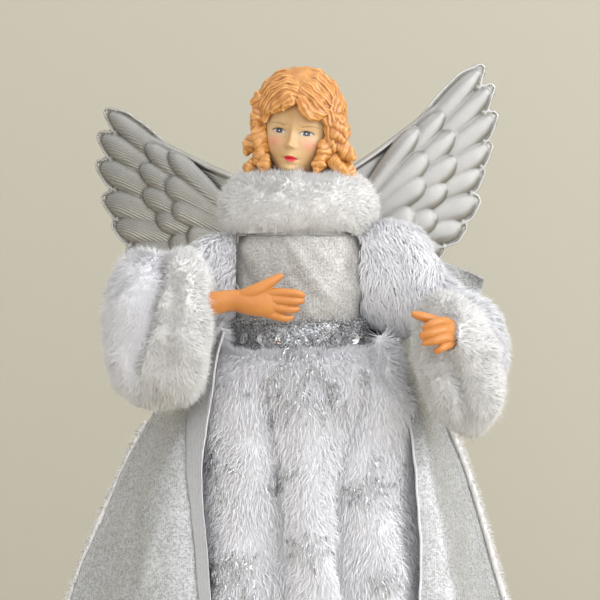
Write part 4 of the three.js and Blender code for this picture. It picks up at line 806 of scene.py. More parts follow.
# Flounces: coat cloth cut full, so that it stands out behind each upper arm. They are sewn into the side
# seams. The right one shows above the cuff, with its outer corner turned up.
flounces, flounce_grids = [], []
shoulder, flounce_drop = 296, 35
for side, reach, name in ((-1, 92, "coat_left_flounce"), (1, 103, "coat_right_flounce")):
    v = np.linspace(0, 1, 36)[:, None]
    u = np.linspace(0, 1, 60)[None]
    start = seam_line(side, shoulder - 5 - flounce_drop * v[:, 0])
    x0 = start[:, :1] + side * 0.6
    x = x0 + (side * reach * (1 - 0.04 * v**2) - x0) * u
    tip = shoulder - 16 - 15 * v
    z = start[:, 2:] + (tip - start[:, 2:]) * u + np.sin(np.pi * u) * (6.5 - 10.7 * v)
    roll = np.sin(np.pi * u) * np.cos(np.pi * (u + v)) + 0.25 * np.sin(9 * u + 4 * v) * u
    y = start[:, 1:2] + 2.1 * (u + roll)
    crease = v - 0.3 - 0.67 * (u - 0.13)
    folded = 2.4 * np.exp(-((crease / 0.07) ** 2)) - 1.8 * np.exp(-(((crease - 0.12) / 0.08) ** 2))
    y = y + folded * np.exp(-(((u - 0.3) / 0.2) ** 2))
    y = y - 4.5 * np.clip((u - 0.8) / 0.2, 0, 1) * np.clip((0.4 - v) / 0.4, 0, 1)
    grid = np.stack(np.broadcast_arrays(x, y, z), axis=-1)
    flounce_grids.append(grid)
    piece_name = name.replace("coat_", "flounce_").replace("_flounce", "")
    flounces.append(build(piece_name, cloth(grid, 1.0), coat_cloth, "figure", [name]))

# Side trims: cords covered with short plush, sewn over the two side seams from the hem upwards. The cord's
# knitted cover shows between the strands.

# Polyester plush, sheared: warm white strands a few millimetres long, matt and even, with painted shade that
# makes them a little greyer at the roots.
plush = long_fur_pile("sheared_polyester_plush", "#F0EEE9", "#FCFBF8")
plush_back = knitted_backing("plush_knitted_backing", "#F4F2EE")

trim_height, trim_radius = 197, 3.6
for side, name in ((-1, "coat_left_trim"), (1, "coat_right_trim")):
    path = seam_line(side, hem + trim_height * (1 - np.linspace(0, 1, 60)))
    path = path + np.array([side * (0.2 if side < 0 else 0.7), 1.3 if side < 0 else 0.6, 0]) * trim_radius
    core = np.column_stack([path, np.full((60, 2), 1.8)])
    trim = edges["left" if side < 0 else "right"]
    trim.append(build(f"{name}_core", tube(core, 60, 10, up=(0, 1, 0)), plush_back, "figure",
                      [name]))
    a = np.linspace(0, 2 * np.pi, 10, endpoint=False)
    ring = np.stack([np.cos(a), np.sin(a), 0 * a], axis=-1) * 1.7
    grid = path[:, None] + ring[None]
    trim.append(fur(f"{name}_pile", scatter(grid, 5000), (0, 0, -1.0), 3.4, 0.45, plush, "figure",
                    "white_plush", lean=(0.1, 0.5), tuft=4.0, seed=11))

# Bodice: a tube of silver cloth stretched over the foam chest. It is gathered into the belt at the waist,
# and slanting drag folds run across the chest.

# Polyester woven with metal thread, finer and warmer than the coat's: threads drawn 0.55 mm apart.
bodice_cloth = metal_thread_cloth("woven_metal_thread_satin", "#BDBBB7", "#807C75", 0.00055, 0.65, 0.22,
                                  0.48, thread=0.5)
# Height as a share of the chest form's 107.7 mm, and its half width as a share of 31.5 mm.
torso_rows = np.array([[0, 0.94], [0.3, 0.99], [0.55, 1.02], [0.74, 1], [0.83, 0.9], [0.89, 0.66]])


def torso_radius(z):
    """The half width of the foam chest at height z, read along straight lines through its table."""
    return 31.5 * np.interp((z - 214.3) / 107.7, torso_rows[:, 0], torso_rows[:, 1])


z = np.linspace(237, 303, 48)[:, None]
a = np.linspace(0, 2 * np.pi, 180, endpoint=False)[None]
ease = np.sin(np.pi * np.clip((z - 236) / 67.5, 0, 1)) ** 0.5
r = torso_radius(z) + 2.2 + 1.4 * ease
flat = np.stack([r * np.sin(a), -r * np.cos(a), z + 0 * a], axis=-1)
slanted = flat * [1, 1, 0.35] + flat[..., 2:] * [0.75, 0, 0]
drape = 1.7 * noise(slanted, 19, 41) + 0.35 * noise(slanted, 9, 42)
gathers = 0.5 * np.cos(34 * a) * np.clip((252 - z) / 14, 0, 1)
r = r + np.clip(drape + gathers, -1.1, 2.2)
grid = np.stack([r * np.sin(a), -(r * 0.8 + 1.2) * np.cos(a), z + 0 * a], axis=-1)
bodice = build("bodice_cloth", cloth(grid, 1.0, around=True), bodice_cloth, "figure",
               ["bodice"])

# Belt: a flat braid of glitter yarn, looped at both edges and tacked round the waist. It is a band with
# some eight hundred loops of yarn on its face and 96 along each edge.

# Metallised film yarn, braided: bright flat threads that each tilt their own way in the bump, and each facet
# is painted a random grey, with painted glints on the white ones and painted shade on the dark ones. The
# film's facets are drawn 0.7 mm wide, so that they show.
braid_metal, put = finish_of("braided_metallised_yarn", Metallic=0.85)
place = add(braid_metal, "TexCoord").outputs["Object"]
cells = add(braid_metal, "TexVoronoi", Vector=place, Scale=1400.0)
split = add(braid_metal, "SeparateXYZ", Vector=cells.outputs["Color"])
bump = add(braid_metal, "Bump", Height=split.outputs["X"], Strength=1.0, Distance=0.0004)
shine = add(braid_metal, "Math", {"operation": "MULTIPLY_ADD"}, i0=split.outputs["Y"], i1=0.4, i2=0.12)
# Painted glints and shade: each facet's colour, from dark to white.
tone = add(braid_metal, "ValToRGB", {"stops": [(0, "#6F7072"), (1, "#E6E7E9")]}, Fac=split.outputs["Z"])
put(Base_Color=tone.outputs["Color"], Normal=bump.outputs[0], Roughness=shine.outputs[0])

belt_x, belt_y, belt_z = waist_x + 0.5, waist_y + 0.5, 248.5


def on_belt(angle, z, out):
    """A place on the belt: x is (half width + out) * sin(angle), and y the same with its cosine."""
    angle, z, out = np.broadcast_arrays(angle, z, out)
    return np.stack([(belt_x + out) * np.sin(angle), -(belt_y + out) * np.cos(angle), z], axis=-1)


a = np.linspace(0, 2 * np.pi, 240, endpoint=False)[None]
s = np.linspace(0, 2 * np.pi, 16, endpoint=False)[:, None]
band = on_belt(a, belt_z + 7.2 * np.sign(np.sin(s)) * np.abs(np.sin(s)) ** 0.5, 0.8 + 0.5 * np.cos(s))
parts = [skin(np.swapaxes(band, 0, 1), closed=True)]


def yarn(line, radius, sides=4):
    """A thin thread: rings of the given radius across a line of points."""
    ahead = np.gradient(line, axis=0)
    ahead /= np.linalg.norm(ahead, axis=1, keepdims=True)
    side = np.cross(ahead, [0.31, 0.52, 0.8])
    side /= np.linalg.norm(side, axis=1, keepdims=True)
    top = np.cross(side, ahead)
    k = np.arange(sides) * 2 * np.pi / sides
    across = side[:, None] * np.cos(k)[:, None] + top[:, None] * np.sin(k)[:, None]
    return skin(line[:, None] + radius * across)


def merged(*forms):
    """Forms in one: their points one after another, and each form's faces counted on from the points
    before it."""
    points, quads, tris, start = [], [], [], 0
    for p, q, t in forms:
        points.append(p)
        quads.append(q + start)
        tris.append(t + start)
        start += len(p)
    return np.vstack(points), np.vstack(quads), np.vstack(tris)


turn = np.linspace(0, 2 * np.pi * 0.93, 9)
edge_loops, face_loops = 96, 800
for edge in (-1, 1):
    for k in range(edge_loops):
        angle = (k + rng.uniform(-0.2, 0.2)) * 2 * np.pi / edge_loops
        height = belt_z + edge * (7.6 + rng.uniform(-0.3, 0.6))
        lean = rng.uniform(0, 2 * np.pi)
        around, up = angle + 0.034 * np.cos(turn + lean), height + 1.5 * np.sin(turn + lean)
        parts.append(yarn(on_belt(around, up, 1.5 + 0.4 * np.sin(2 * turn)), 0.3))
for k in range(face_loops):
    angle, height = rng.uniform(0, 2 * np.pi), belt_z + rng.uniform(-7, 7)
    wide, high, lean = rng.uniform(0.015, 0.04), rng.uniform(0.5, 1.7), rng.uniform(0, 2 * np.pi)
    around, up = angle + wide * np.cos(turn + lean), height + high * np.sin(turn + lean)
    parts.append(yarn(on_belt(around, up, 1.5 + 0.8 * np.sin(turn * 2 + lean)), 0.24))
build("belt_braid_yarns", merged(*parts), braid_metal, "figure", ["belt_braid"])

# Sequins: seven cupped discs, 6.4 mm across, stamped from mirror film with a hole in the middle. They are
# sewn through it in a row across the front of the belt, and each tilts a little its own way.

# Metallised polyester film, stamped: a mirror with faint scuffs 2 mm apart, so it flashes or goes dark.
mirror, put = finish_of("stamped_mirror_film", Metallic=1.0, Roughness=0.08)
place = add(mirror, "TexCoord").outputs["Object"]
scuff = add(mirror, "TexNoise", Vector=place, Scale=600.0, Detail=3.0)
tone = add(mirror, "ValToRGB", {"stops": [(0.3, "#D5D8DC"), (0.7, "#F2F4F7")]}, Fac=scuff.outputs[0])
put(Base_Color=tone.outputs["Color"])

a = np.linspace(0, 2 * np.pi, 40, endpoint=False)
# The disc's section: distance from its middle and height, over the back and round to the front.
back_profile = [[0.5, 0.15], [1.6, 0.0], [2.6, 0.25], [3.15, 0.75], [3.2, 0.95]]
profile = back_profile + [[3.1, 1.0], [2.5, 0.55], [1.6, 0.3], [0.5, 0.4]]
sequin_gap = 10.0
for i in range(7):
    x = (i - 3) * sequin_gap
    angle = math.asin(x / (waist_x + 3.5))
    middle = on_belt(angle, belt_z - 1.5, 2.2)
    out = np.array([math.sin(angle) * belt_y, -math.cos(angle) * belt_x, 0])
    out = out / np.linalg.norm(out) + np.array([rng.uniform(-0.55, 0.55), 0, rng.uniform(-0.5, 0.3)])
    out /= np.linalg.norm(out)
    side = np.cross(out, [0, 0, 1.0])
    side /= np.linalg.norm(side)
    top = np.cross(side, out)
    ring = side * np.cos(a)[:, None] + top * np.sin(a)[:, None]
    rings = [middle + out * h + q * ring for q, h in profile]
    build(f"sequin_{i + 1}", skin(np.array(rings), closed=True), mirror, "figure",
          [f"belt_sequin_{i + 1}"])

# Collar: a thick ring of short plush, stuffed and closed behind the neck. Its pile hides where it meets
# the neck and the shoulders, and it is lumpy from the stuffing.
a = np.linspace(0, 2 * np.pi, 150, endpoint=False)[:, None]
b = np.linspace(0, 2 * np.pi, 60, endpoint=False)[None]
out = np.stack([np.sin(a), -np.cos(a), 0 * a], axis=-1)
collar_z, collar_x, collar_y = 320.4, 43, 32.2
half_thick, half_high = 27 / 2 - 1.6, 35 / 2 - 1.8
ring = out * np.stack([collar_x - 13.5 + 0 * a, collar_y - 13.5 + 0 * a, 0 * a], axis=-1)
collar_grid = ring + out * (half_thick * np.cos(b))[..., None]
collar_grid = collar_grid + np.array([0, 0, 1.0]) * (half_high * np.sin(b))[..., None]
collar_grid = collar_grid - out * (2.6 * np.sin(b))[..., None] + [0, 0, collar_z]
lump = 0.9 * noise(collar_grid, 26, 51) + 0.5 * noise(collar_grid, 13, 52)
push = collar_grid - (ring + [0, 0, collar_z])
collar_grid = collar_grid + push / np.linalg.norm(push, axis=2, keepdims=True) * lump[..., None]
collar_base = build("collar_backing", skin(collar_grid, closed=True), plush_back, "figure",
                    ["collar"])


def clear_of_neck(p):
    """True outside the neck's hole and, low on the collar, outside the bodice's ellipse."""
    over_bodice = np.hypot(p[:, 0] / 36, p[:, 1] / 30) > 0.97
    return (np.hypot(p[:, 0], p[:, 1]) > 16) & ((p[:, 2] > 306) | over_bodice)


collar_layers = (("pile", 33000, 3.6, 0.45, (0.1, 0.45)), ("fluff", 5000, 5.4, 0.26, (0.0, 0.3)))
for part, count, length, width, lean in collar_layers:
    roots, facing = scatter(np.vstack([collar_grid, collar_grid[:1]]), count)
    comb = np.column_stack([roots[:, 0] * 0.02, roots[:, 1] * 0.02, -np.ones(len(roots))])
    fur(f"collar_{part}", (roots, facing), comb, length, width, plush, "figure", "white_plush",
        keep=clear_of_neck, lean=lean, tuft=9.0, seed=53, sway=0.5, scattered=0.22)

# Sleeves: long fur cloth sewn into tubes and stuffed, each a soft limb that ends in a wide bell in front.
# Their upper ends are tucked in at the shoulders, and the arm wires run inside them.


def ellipsoid(centre, half, rows=40, cols=60, boxy=1.0):
    """Rings round an ellipsoid: centre plus half times a unit ball's x, y, z, each to the power boxy."""
    v = np.linspace(0.02, 0.98, rows)[:, None] * np.pi
    u = np.linspace(0, 2 * np.pi, cols, endpoint=False)[None]
    ball = np.stack([np.cos(v) + 0 * u, np.sin(v) * np.cos(u), np.sin(v) * np.sin(u)], axis=-1)
    return np.asarray(centre) + np.sign(ball) * np.abs(ball) ** boxy * np.asarray(half)


def limb_grid(stations, rows=50, cols=48):
    """Rings across a limb: y + half depth * cos(u) and z + half height * sin(u) at each station, which
    is x, y, z, half depth and half height."""
    line = spline(stations, rows)
    u = np.linspace(0, 2 * np.pi, cols, endpoint=False)[None]
    x = line[:, :1] + 0 * u
    y = line[:, 1:2] + line[:, 3:4] * np.cos(u)
    z = line[:, 2:3] + line[:, 4:5] * np.sin(u)
    return np.stack([x, y, z], axis=-1)


def inside_puck(points, centre, half, grow):
    """True where |x| ** 2.2 + |y| ** 2.2 + |z| ** 2.2 is below 1, each over its half size plus grow."""
    away = (points - centre) / (np.asarray(half) + grow)
    return (np.abs(away) ** 2.2).sum(1) < 1


def melted(name, form, voxel, rounds, mat, body, replaces=(), thinned=1.0):
    """Forms melted into one skin: remeshed in voxels, smoothed half way to their neighbours' middle for
    some rounds, and thinned to a share of their faces."""
    piece = build(name, form, mat, body, replaces)
    remesh = piece.modifiers.new("remesh", "REMESH")
    remesh.mode = "VOXEL"
    remesh.voxel_size = voxel / 1000
    remesh.use_smooth_shade = True
    smooth = piece.modifiers.new("smooth", "SMOOTH")
    smooth.factor = 0.5
    smooth.iterations = rounds
    if thinned < 1:
        piece.modifiers.new("thin", "DECIMATE").ratio = thinned
    graph = bpy.context.evaluated_depsgraph_get()
    piece.data = bpy.data.meshes.new_from_object(piece.evaluated_get(graph))
    piece.modifiers.clear()
    piece.data.materials.clear()
    piece.data.materials.append(mat)
    return piece


left_sleeve = [
    [-34.5, 0, 279, 10, 24],
    [-50, -1, 279, 13, 21],
    [-64, -6, 273, 14, 18],
    [-80, -16, 266, 15, 18],
    [-92, -28, 258, 12, 20],
]
right_sleeve = [
    [34.5, 0, 283, 11, 22],
    [48, -1, 281, 14, 28],
    [58, -3, 279.5, 15, 27],
    [65, -5, 279.5, 14, 21],
    [71, -6, 280, 10, 13],
    [75, -6, 280, 4, 5],
]
right_elbow = [
    [62, -2, 284, 7, 8],
    [74, -2, 280.5, 5, 5],
    [84, -2.5, 272, 4.5, 4.5],
    [94, -5, 262, 6, 6],
    [101, -9, 253, 6, 7],
    [105, -12, 251, 2, 3],
]
left_bell_at, right_bell_at = [-81, -44, 254], [90, -25, 239]
# The cuffs' middles and half sizes, because no pile grows inside them.
left_puck, left_half = np.array([-63.6, -48.0, 252.3]), np.array([16.5, 27.0, 41.5])
right_puck, right_half = np.array([83.6, -53.0, 235.0]), np.array([21.8, 16.0, 37.6])

left_limb, left_bell = limb_grid(left_sleeve), ellipsoid(left_bell_at, [20.5, 24.5, 39.5], boxy=0.88)
left_bell += (left_bell - left_bell_at) * 0.045 * noise(left_bell, 20, 81)[..., None]
right_limb, right_lower = limb_grid(right_sleeve), limb_grid(right_elbow)
right_bell = ellipsoid(right_bell_at, [21, 21, 31])
left_core = melted("sleeve_left_backing", merged(skin(left_limb), skin(left_bell)), 1.6, 4, pile_back,
                   "left_arm", ["left_sleeve"])
right_form = merged(skin(right_limb), skin(right_lower), skin(right_bell))
right_core = melted("sleeve_right_backing", right_form, 1.6, 4, pile_back, "right_arm",
                    ["right_sleeve"])
shoulder_x = 34.8


def clear_of_left_cuff(p):
    """True outside the left cuff and beyond the shoulder's x."""
    return ~inside_puck(p, left_puck, left_half, -1.0) & (p[:, 0] < -shoulder_x)


def clear_of_right_cuff(p):
    """True outside the right cuff and beyond the shoulder's x."""
    return ~inside_puck(p, right_puck, right_half, -1.0) & (p[:, 0] > shoulder_x)


fur("sleeve_left_pile_upper", scatter(left_limb, 8500), (-0.3, -0.2, -1), 8.5, 0.5, long_pile, "left_arm",
    "long_fur", keep=clear_of_left_cuff, lean=(0.3, 0.9), bent=True, tuft=16.0, seed=61, sway=0.5)
fur("sleeve_left_pile_lower", scatter(left_bell, 20000, centre=left_bell_at), (-0.3, 0.1, -1), 6.0, 0.42,
    long_pile, "left_arm", "long_fur", keep=clear_of_left_cuff, lean=(0.1, 0.7), curl=0.2, tuft=16.0,
    seed=62, sway=0.25)
fur("sleeve_right_pile_upper", scatter(right_limb, 13000), (0.2, -0.1, -1), 9.0, 0.52, long_pile,
    "right_arm", "long_fur", keep=clear_of_right_cuff, lean=(0.3, 0.95), bent=True, tuft=16.0, seed=63,
    sway=0.5)
roots = [scatter(right_lower, 4500), scatter(right_bell, 12000, centre=right_bell_at)]
roots = tuple(np.vstack([r[k] for r in roots]) for k in range(2))
fur("sleeve_right_pile_lower", roots, (0.4, 0.1, -1), 7.0, 0.5, long_pile, "right_arm", "long_fur",
    keep=clear_of_right_cuff, lean=(0.3, 0.85), tuft=16.0, seed=64, sway=0.5)

# Tufts: the skirt's fur bunches up beside the belt, where the gathered cloth is pushed out by the sleeves.
# Each is a soft lump of fur cloth with its own pile.
for side, tuft_at, tuft_half, count in (
    ("right", [46, -22, 222], [9, 10, 25], 5000),
    ("left", [-44, -10, 243], [6.5, 7, 11], 1600),
):
    tuft = ellipsoid(tuft_at, tuft_half, 24, 32)
    tuft += (tuft - tuft_at) * 0.12 * noise(tuft, 9, 82)[..., None]
    tuft_backing = build(f"skirt_tuft_{side}_backing", skin(tuft), pile_back, "figure")
    fur(f"skirt_tuft_{side}_pile", scatter(tuft, count, centre=tuft_at), (0.35, -0.2, -1), 9.0, 0.45,
        long_pile, "figure", "long_fur", lean=(0.1, 0.8), curl=0.25, tuft=14.0, seed=66, sway=0.5,
        frontal=0.5, scattered=0.18)

# Cuffs: soft stuffed plush rings, sewn round the sleeves' ends, with a tunnel for the hand. A crease
# pulls each one in at the front, and the right one has a lip that is pushed towards the hand.
tunnel_share, tunnel_end = 0.9, 0.095


def cuff_grid(centre, half, axis, tunnel, tunnel_radius, tunnel_z, slope, seed, fan=0.0, valley=None,
              lip=None):
    """Rings along the cuff's axis, from one mouth of the tunnel over the outside to the other. A ring is
    half * (1 - |share| ** power) ** (1 / power) across, turns into the tunnel's circle at the mouths,
    leans by the slope, and is moved by noise, less a valley along a line and plus a lip."""
    t = np.linspace(-1, 1, 64)
    share = np.sign(t) * (1 - (1 - np.abs(t)) ** 1.7) * 0.995
    power = np.where((share < 0) & (fan > 0), 6.0, 2.6)
    size = ((1 - np.abs(share) ** power) ** (1 / power))[:, None]
    u = np.linspace(0, 2 * np.pi, 90, endpoint=False)[None]
    mouth = np.clip((np.abs(share) - tunnel_share) / tunnel_end, 0, 1)[:, None] ** 1.5
    side = 1 - axis
    grid = np.zeros((64, 90, 3))
    grid[..., axis] = centre[axis] + (share * half[axis])[:, None]
    grid[..., side] = centre[side] + half[side] * size * np.cos(u)
    grid[..., 2] = centre[2] + half[2] * size * np.sin(u)
    hole = np.zeros_like(grid)
    reach = share * half[axis]
    hole[..., axis] = grid[..., axis]
    hole[..., side] = tunnel(centre[axis] + reach)[:, None] + tunnel_radius * np.cos(u)
    hole[..., 2] = tunnel_z + tunnel_radius * np.sin(u)
    grid = grid * (1 - mouth[..., None]) + hole * mouth[..., None]
    lean = slope + fan * (0.5 - 0.5 * share)[:, None]
    grid[..., 0] += lean * (grid[..., 2] - centre[2]) * (1 - mouth)
    away = grid - centre
    away /= np.linalg.norm(away, axis=2, keepdims=True)
    lump = 1.5 * noise(grid, 27, seed) + 1.1 * noise(grid, 14, seed + 1)
    if valley:
        (x0, z0), (x1, z1), depth, width = valley
        way = np.array([x1 - x0, z1 - z0])
        from_start = grid[..., [0, 2]] - [x0, z0]
        share = np.clip(from_start @ way / (way @ way), 0, 1)
        distance = np.linalg.norm(from_start - share[..., None] * way, axis=2)
        lump = lump - depth * np.exp(-((distance / width) ** 2)) * (grid[..., 1] < centre[1])
    grid = grid + away * (lump * (1 - mouth))[..., None]
    if lip:
        x0, z0, wide, high, pull = lip
        near = np.exp(-(((grid[..., 0] - x0) / wide) ** 2) - ((grid[..., 2] - z0) / high) ** 2)
        near = near * (grid[..., 1] < centre[1] - 8)
        grid = grid + near[..., None] * np.array(pull)
    return grid


def left_tunnel(x):
    """The left tunnel's y at x: a line that slants 6 degrees from the X axis."""
    return -50 + (x + 48) * math.tan(math.radians(6))


def clear_of_left_hand(p):
    """True more than 8.2 mm from the line of the left tunnel's middle."""
    return np.hypot(p[:, 1] + 50, p[:, 2] - 266) > 8.2


def right_tunnel(y):
    """The right tunnel's x at y: a line at -115 degrees."""
    return 93 + (y + 43) * (1 / math.tan(math.radians(-115)))


def clear_of_right_hand(p):
    """True more than 8 mm from the right tunnel's middle, or on its outer side."""
    across = p[:, 0] - 93 - (p[:, 1] + 43) * (1 / math.tan(math.radians(-115)))
    return (np.hypot(across, p[:, 2] - 250) > 8.0) | (p[:, 0] > 80.5)


cuff_layers = (("pile", 26000, 4.4, 0.5, (0.0, 0.45)), ("fluff", 5000, 6.4, 0.26, (0.0, 0.3)))
left_cuff_grid = cuff_grid(left_puck, left_half - 2.0, 0, left_tunnel, 7.4, 266.0, 0.02, 71, fan=0.2,
                           valley=((-67.0, 277.0), (-66.0, 262.0), 2.8, 8.0))
left_cuff = build("cuff_left_backing", skin(left_cuff_grid, closed=True), plush_back, "left_arm",
                  ["left_cuff"])
for part, count, length, width, lean in cuff_layers:
    fur(f"cuff_left_{part}", scatter(left_cuff_grid, count, centre=left_puck), (0.2, -0.2, -1), length,
        width, plush, "left_arm", "white_plush", keep=clear_of_left_hand, lean=lean, tuft=11.0, seed=72,
        sway=0.3, scattered=0.25)
right_cuff_grid = cuff_grid(right_puck, right_half - 2.0, 1, right_tunnel, 7.6, 250.0, -0.2, 75,
                            valley=((82.0, 231.0), (88.5, 205.0), 5.0, 3.4),
                            lip=(89.0, 248.0, 6.5, 13.0, (-6.5, -11.0, 0)))
right_cuff = build("cuff_right_backing", skin(right_cuff_grid, closed=True), plush_back, "right_arm",
                   ["right_cuff"])
for part, count, length, width, lean in cuff_layers:
    fur(f"cuff_right_{part}", scatter(right_cuff_grid, count, centre=right_puck), (0.1, -0.3, -1), length,
        width, plush, "right_arm", "white_plush", keep=clear_of_right_hand, lean=lean, tuft=11.0, seed=76,
        sway=0.3, scattered=0.25, frontal=0.12)

# Hands: each cast as one piece of soft vinyl in a two-part mould, from a forearm stub, a palm, four fingers
# and a thumb. The stub is pushed on the arm wire, and so it can be turned.


def moulded_vinyl(name, light, dark, rough, glow, painted_light_by_curvature=None):
    """Soft vinyl. Clouds 14 mm across mix two colours, grain under a millimetre is the bump, and where a
    pair of colours is given, the mesh's hollows take the first as painted shade and its ridges the second as
    painted highlight."""
    mat, put = finish_of(name, Roughness=rough, Coat_Weight=0.5 if painted_light_by_curvature else 0.15, Coat_Roughness=0.25)
    place = add(mat, "TexCoord").outputs["Object"]
    cloud = add(mat, "TexNoise", Vector=place, Scale=70.0, Detail=4.0)
    tone = add(mat, "ValToRGB", {"stops": [(0.3, dark), (0.7, light)]},
               Fac=cloud.outputs[0]).outputs["Color"]
    if painted_light_by_curvature:
        # Painted shade in the hollows and painted highlight on the ridges, by the mesh's curvature.
        curve = add(mat, "NewGeometry").outputs["Pointiness"]
        low = add(mat, "MapRange", i0=curve, i1=0.497, i2=0.455).outputs[0]
        high = add(mat, "MapRange", i0=curve, i1=0.503, i2=0.55).outputs[0]
        tone = add(mat, "Mix", {"data_type": "RGBA"}, Factor=low, i6=tone, i7=linear(painted_light_by_curvature[0])).outputs[2]
        tone = add(mat, "Mix", {"data_type": "RGBA"}, Factor=high, i6=tone, i7=linear(painted_light_by_curvature[1])).outputs[2]
    grain = add(mat, "TexNoise", Vector=place, Scale=1500.0, Detail=2.0)
    bump = add(mat, "Bump", Height=grain.outputs[0], Strength=0.15, Distance=0.0002)
    put(Base_Color=tone, Normal=bump.outputs[0], Subsurface_Weight=glow, Subsurface_Scale=0.003)
    put(Subsurface_Radius=(1.0, 0.5, 0.25))
    return mat


# Plasticised vinyl, dip-painted orange: waxy, with a soft sheen, and the light goes a little way in.
orange_vinyl = moulded_vinyl("moulded_orange_vinyl", "#C8843E", "#BC7834", 0.42, 0.25)


def spot(px, py, y):
    """The place at depth y that the camera sees at a pixel: its offset from the picture's middle times
    the size of a pixel there."""
    scale = mm_per_pixel * (y - eye[1]) / camera_away
    return np.array([eye[0] + (px - picture_middle) * scale, y, eye[2] - (py - picture_middle) * scale])


def rod(stations, steps=28, sides=20):
    """A limb through places with a radius, or with a half depth and a half height."""
    rows = [[*place, *(size if isinstance(size, tuple) else (size, size))] for place, size in stations]
    return tube(rows, steps, sides, up=(0, 0, 1))


# A finger is the pixels that it passes with its radius there, and its depths.
fingers = [
    [((262, 294), 2.9), ((274, 292.6), 2.5), ((287, 292.8), 2.35), ((297, 293.6), 2.15),
     ((302.5, 295.6), 1.7)],
    [((262, 300), 3.0), ((274, 299.5), 2.6), ((287, 300.6), 2.4), ((297, 301), 2.2), ((302, 300.4), 1.8)],
    [((262, 306), 3.0), ((274, 307), 2.5), ((285, 309), 2.3), ((293, 309.6), 2.1), ((297.5, 308.4), 1.7)],
    [((261, 311), 3.0), ((271, 314.4), 2.4), ((281, 317.6), 2.2), ((287, 318.2), 2.0),
     ((291.5, 317.2), 1.6)],
]
depths = [
    [-53, -54, -54.5, -53.5, -52],
    [-53, -54, -54, -52.5, -51],
    [-53, -53.5, -53, -51.5, -50],
    [-52, -52.5, -52, -50.5, -49.5],
]
forearm_and_palm = [
    (spot(184, 305.5, -54), (5.4, 6.0)),
    (spot(212, 303.5, -52.5), (5.7, 6.3)),
    (spot(232, 300.5, -52), (5.2, 5.7)),
    (spot(250, 302, -52.5), (5.0, 6.9)),
    (spot(265, 303, -53), (4.4, 7.4)),
    (spot(272, 303, -53), (3.6, 6.6)),
]
thumb = [
    (spot(243, 296, -53), 3.8),
    (spot(257, 290, -54.5), 3.6),
    (spot(269, 283, -54.5), 2.8),
    (spot(280.5, 276, -53), 1.8),
]
parts = [rod(forearm_and_palm, 50, 32), rod(thumb)]
parts += [rod([(spot(*p, y), r) for (p, r), y in zip(row, deep)]) for row, deep in zip(fingers, depths)]
melted("hand_left", merged(*parts), 0.32, 3, orange_vinyl, "left_hand", ["left_hand"],
       thinned=0.55)

fingers = [
    [((447, 323), -77, 2.9), ((440, 321.5), -82, 2.5), ((431, 324.5), -85, 2.3),
     ((424.5, 328.4), -85, 1.8)],
    [((449, 331), -77, 2.9), ((443, 330), -82, 2.5), ((431, 333.2), -86, 2.4), ((422, 336), -86, 1.9)],
    [((450, 338), -77, 2.8), ((445, 338), -82, 2.4), ((434, 340.8), -85, 2.3), ((424.5, 343), -85, 1.8)],
    [((450, 344), -76, 2.7), ((446, 345.6), -80, 2.3), ((441, 348.6), -83, 2.1), ((436, 351.2), -83, 1.7)],
]
forearm_and_palm = [
    ([97.6, -33, 250], (5.0, 5.6)),
    ([87, -58, 250], (5.0, 5.8)),
    ([80, -70, 250.5], (4.8, 7.0)),
    (spot(446, 334, -77), (4.2, 7.6)),
]
thumb = [
    (spot(444, 326, -71), 3.2),
    (spot(432, 320, -77), 2.9),
    (spot(421, 316.4, -80), 2.5),
    (spot(413.4, 314, -81), 1.7),
]
parts = [rod(forearm_and_palm, 40, 32), rod(thumb)]
parts += [rod([(spot(*p, y), r) for p, y, r in row]) for row in fingers]
melted("hand_right", merged(*parts), 0.32, 3, orange_vinyl, "right_hand", ["right_hand"],
       thinned=0.55)

# Head: a hollow vinyl doll's head on a short neck, cast in one piece and glued over the wooden peg. Its
# features are sprayed and painted on. Places are about the neck's pivot, with z up the head, and are then
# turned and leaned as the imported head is.


def head_place(points):
    """Points turned by -11 degrees about the head's axis, leaned by 8 degrees to the side, and moved to
    the neck's pivot."""
    turn, lean = math.radians(-11), math.radians(8)
    x, y, z = points[..., 0], points[..., 1], points[..., 2]
    x, y = x * math.cos(turn) - y * math.sin(turn), x * math.sin(turn) + y * math.cos(turn)
    x, z = x * math.cos(lean) + z * math.sin(lean), -x * math.sin(lean) + z * math.cos(lean)
    return np.stack([x - 4, y, z + 318], axis=-1)


# Height as a share of 74 mm, then the half width, the front and the back as shares of their largest.
head_shares = [
    [1, 0.075, 0.073, 0.069],
    [0.981, 0.4, 0.388, 0.37],
    [0.932, 0.675, 0.631, 0.648],
    [0.851, 0.88, 0.85, 0.88],
    [0.757, 0.97, 0.951, 0.981],
    [0.649, 1, 0.985, 1],
    [0.541, 0.975, 0.985, 0.954],
    [0.446, 0.87, 0.97, 0.87],
    [0.365, 0.74, 0.93, 0.759],
    [0.297, 0.58, 0.86, 0.648],
    [0.257, 0.53, 0.64, 0.556],
    [0.203, 0.5, 0.437, 0.463],
    [0.108, 0.52, 0.408, 0.435],
]
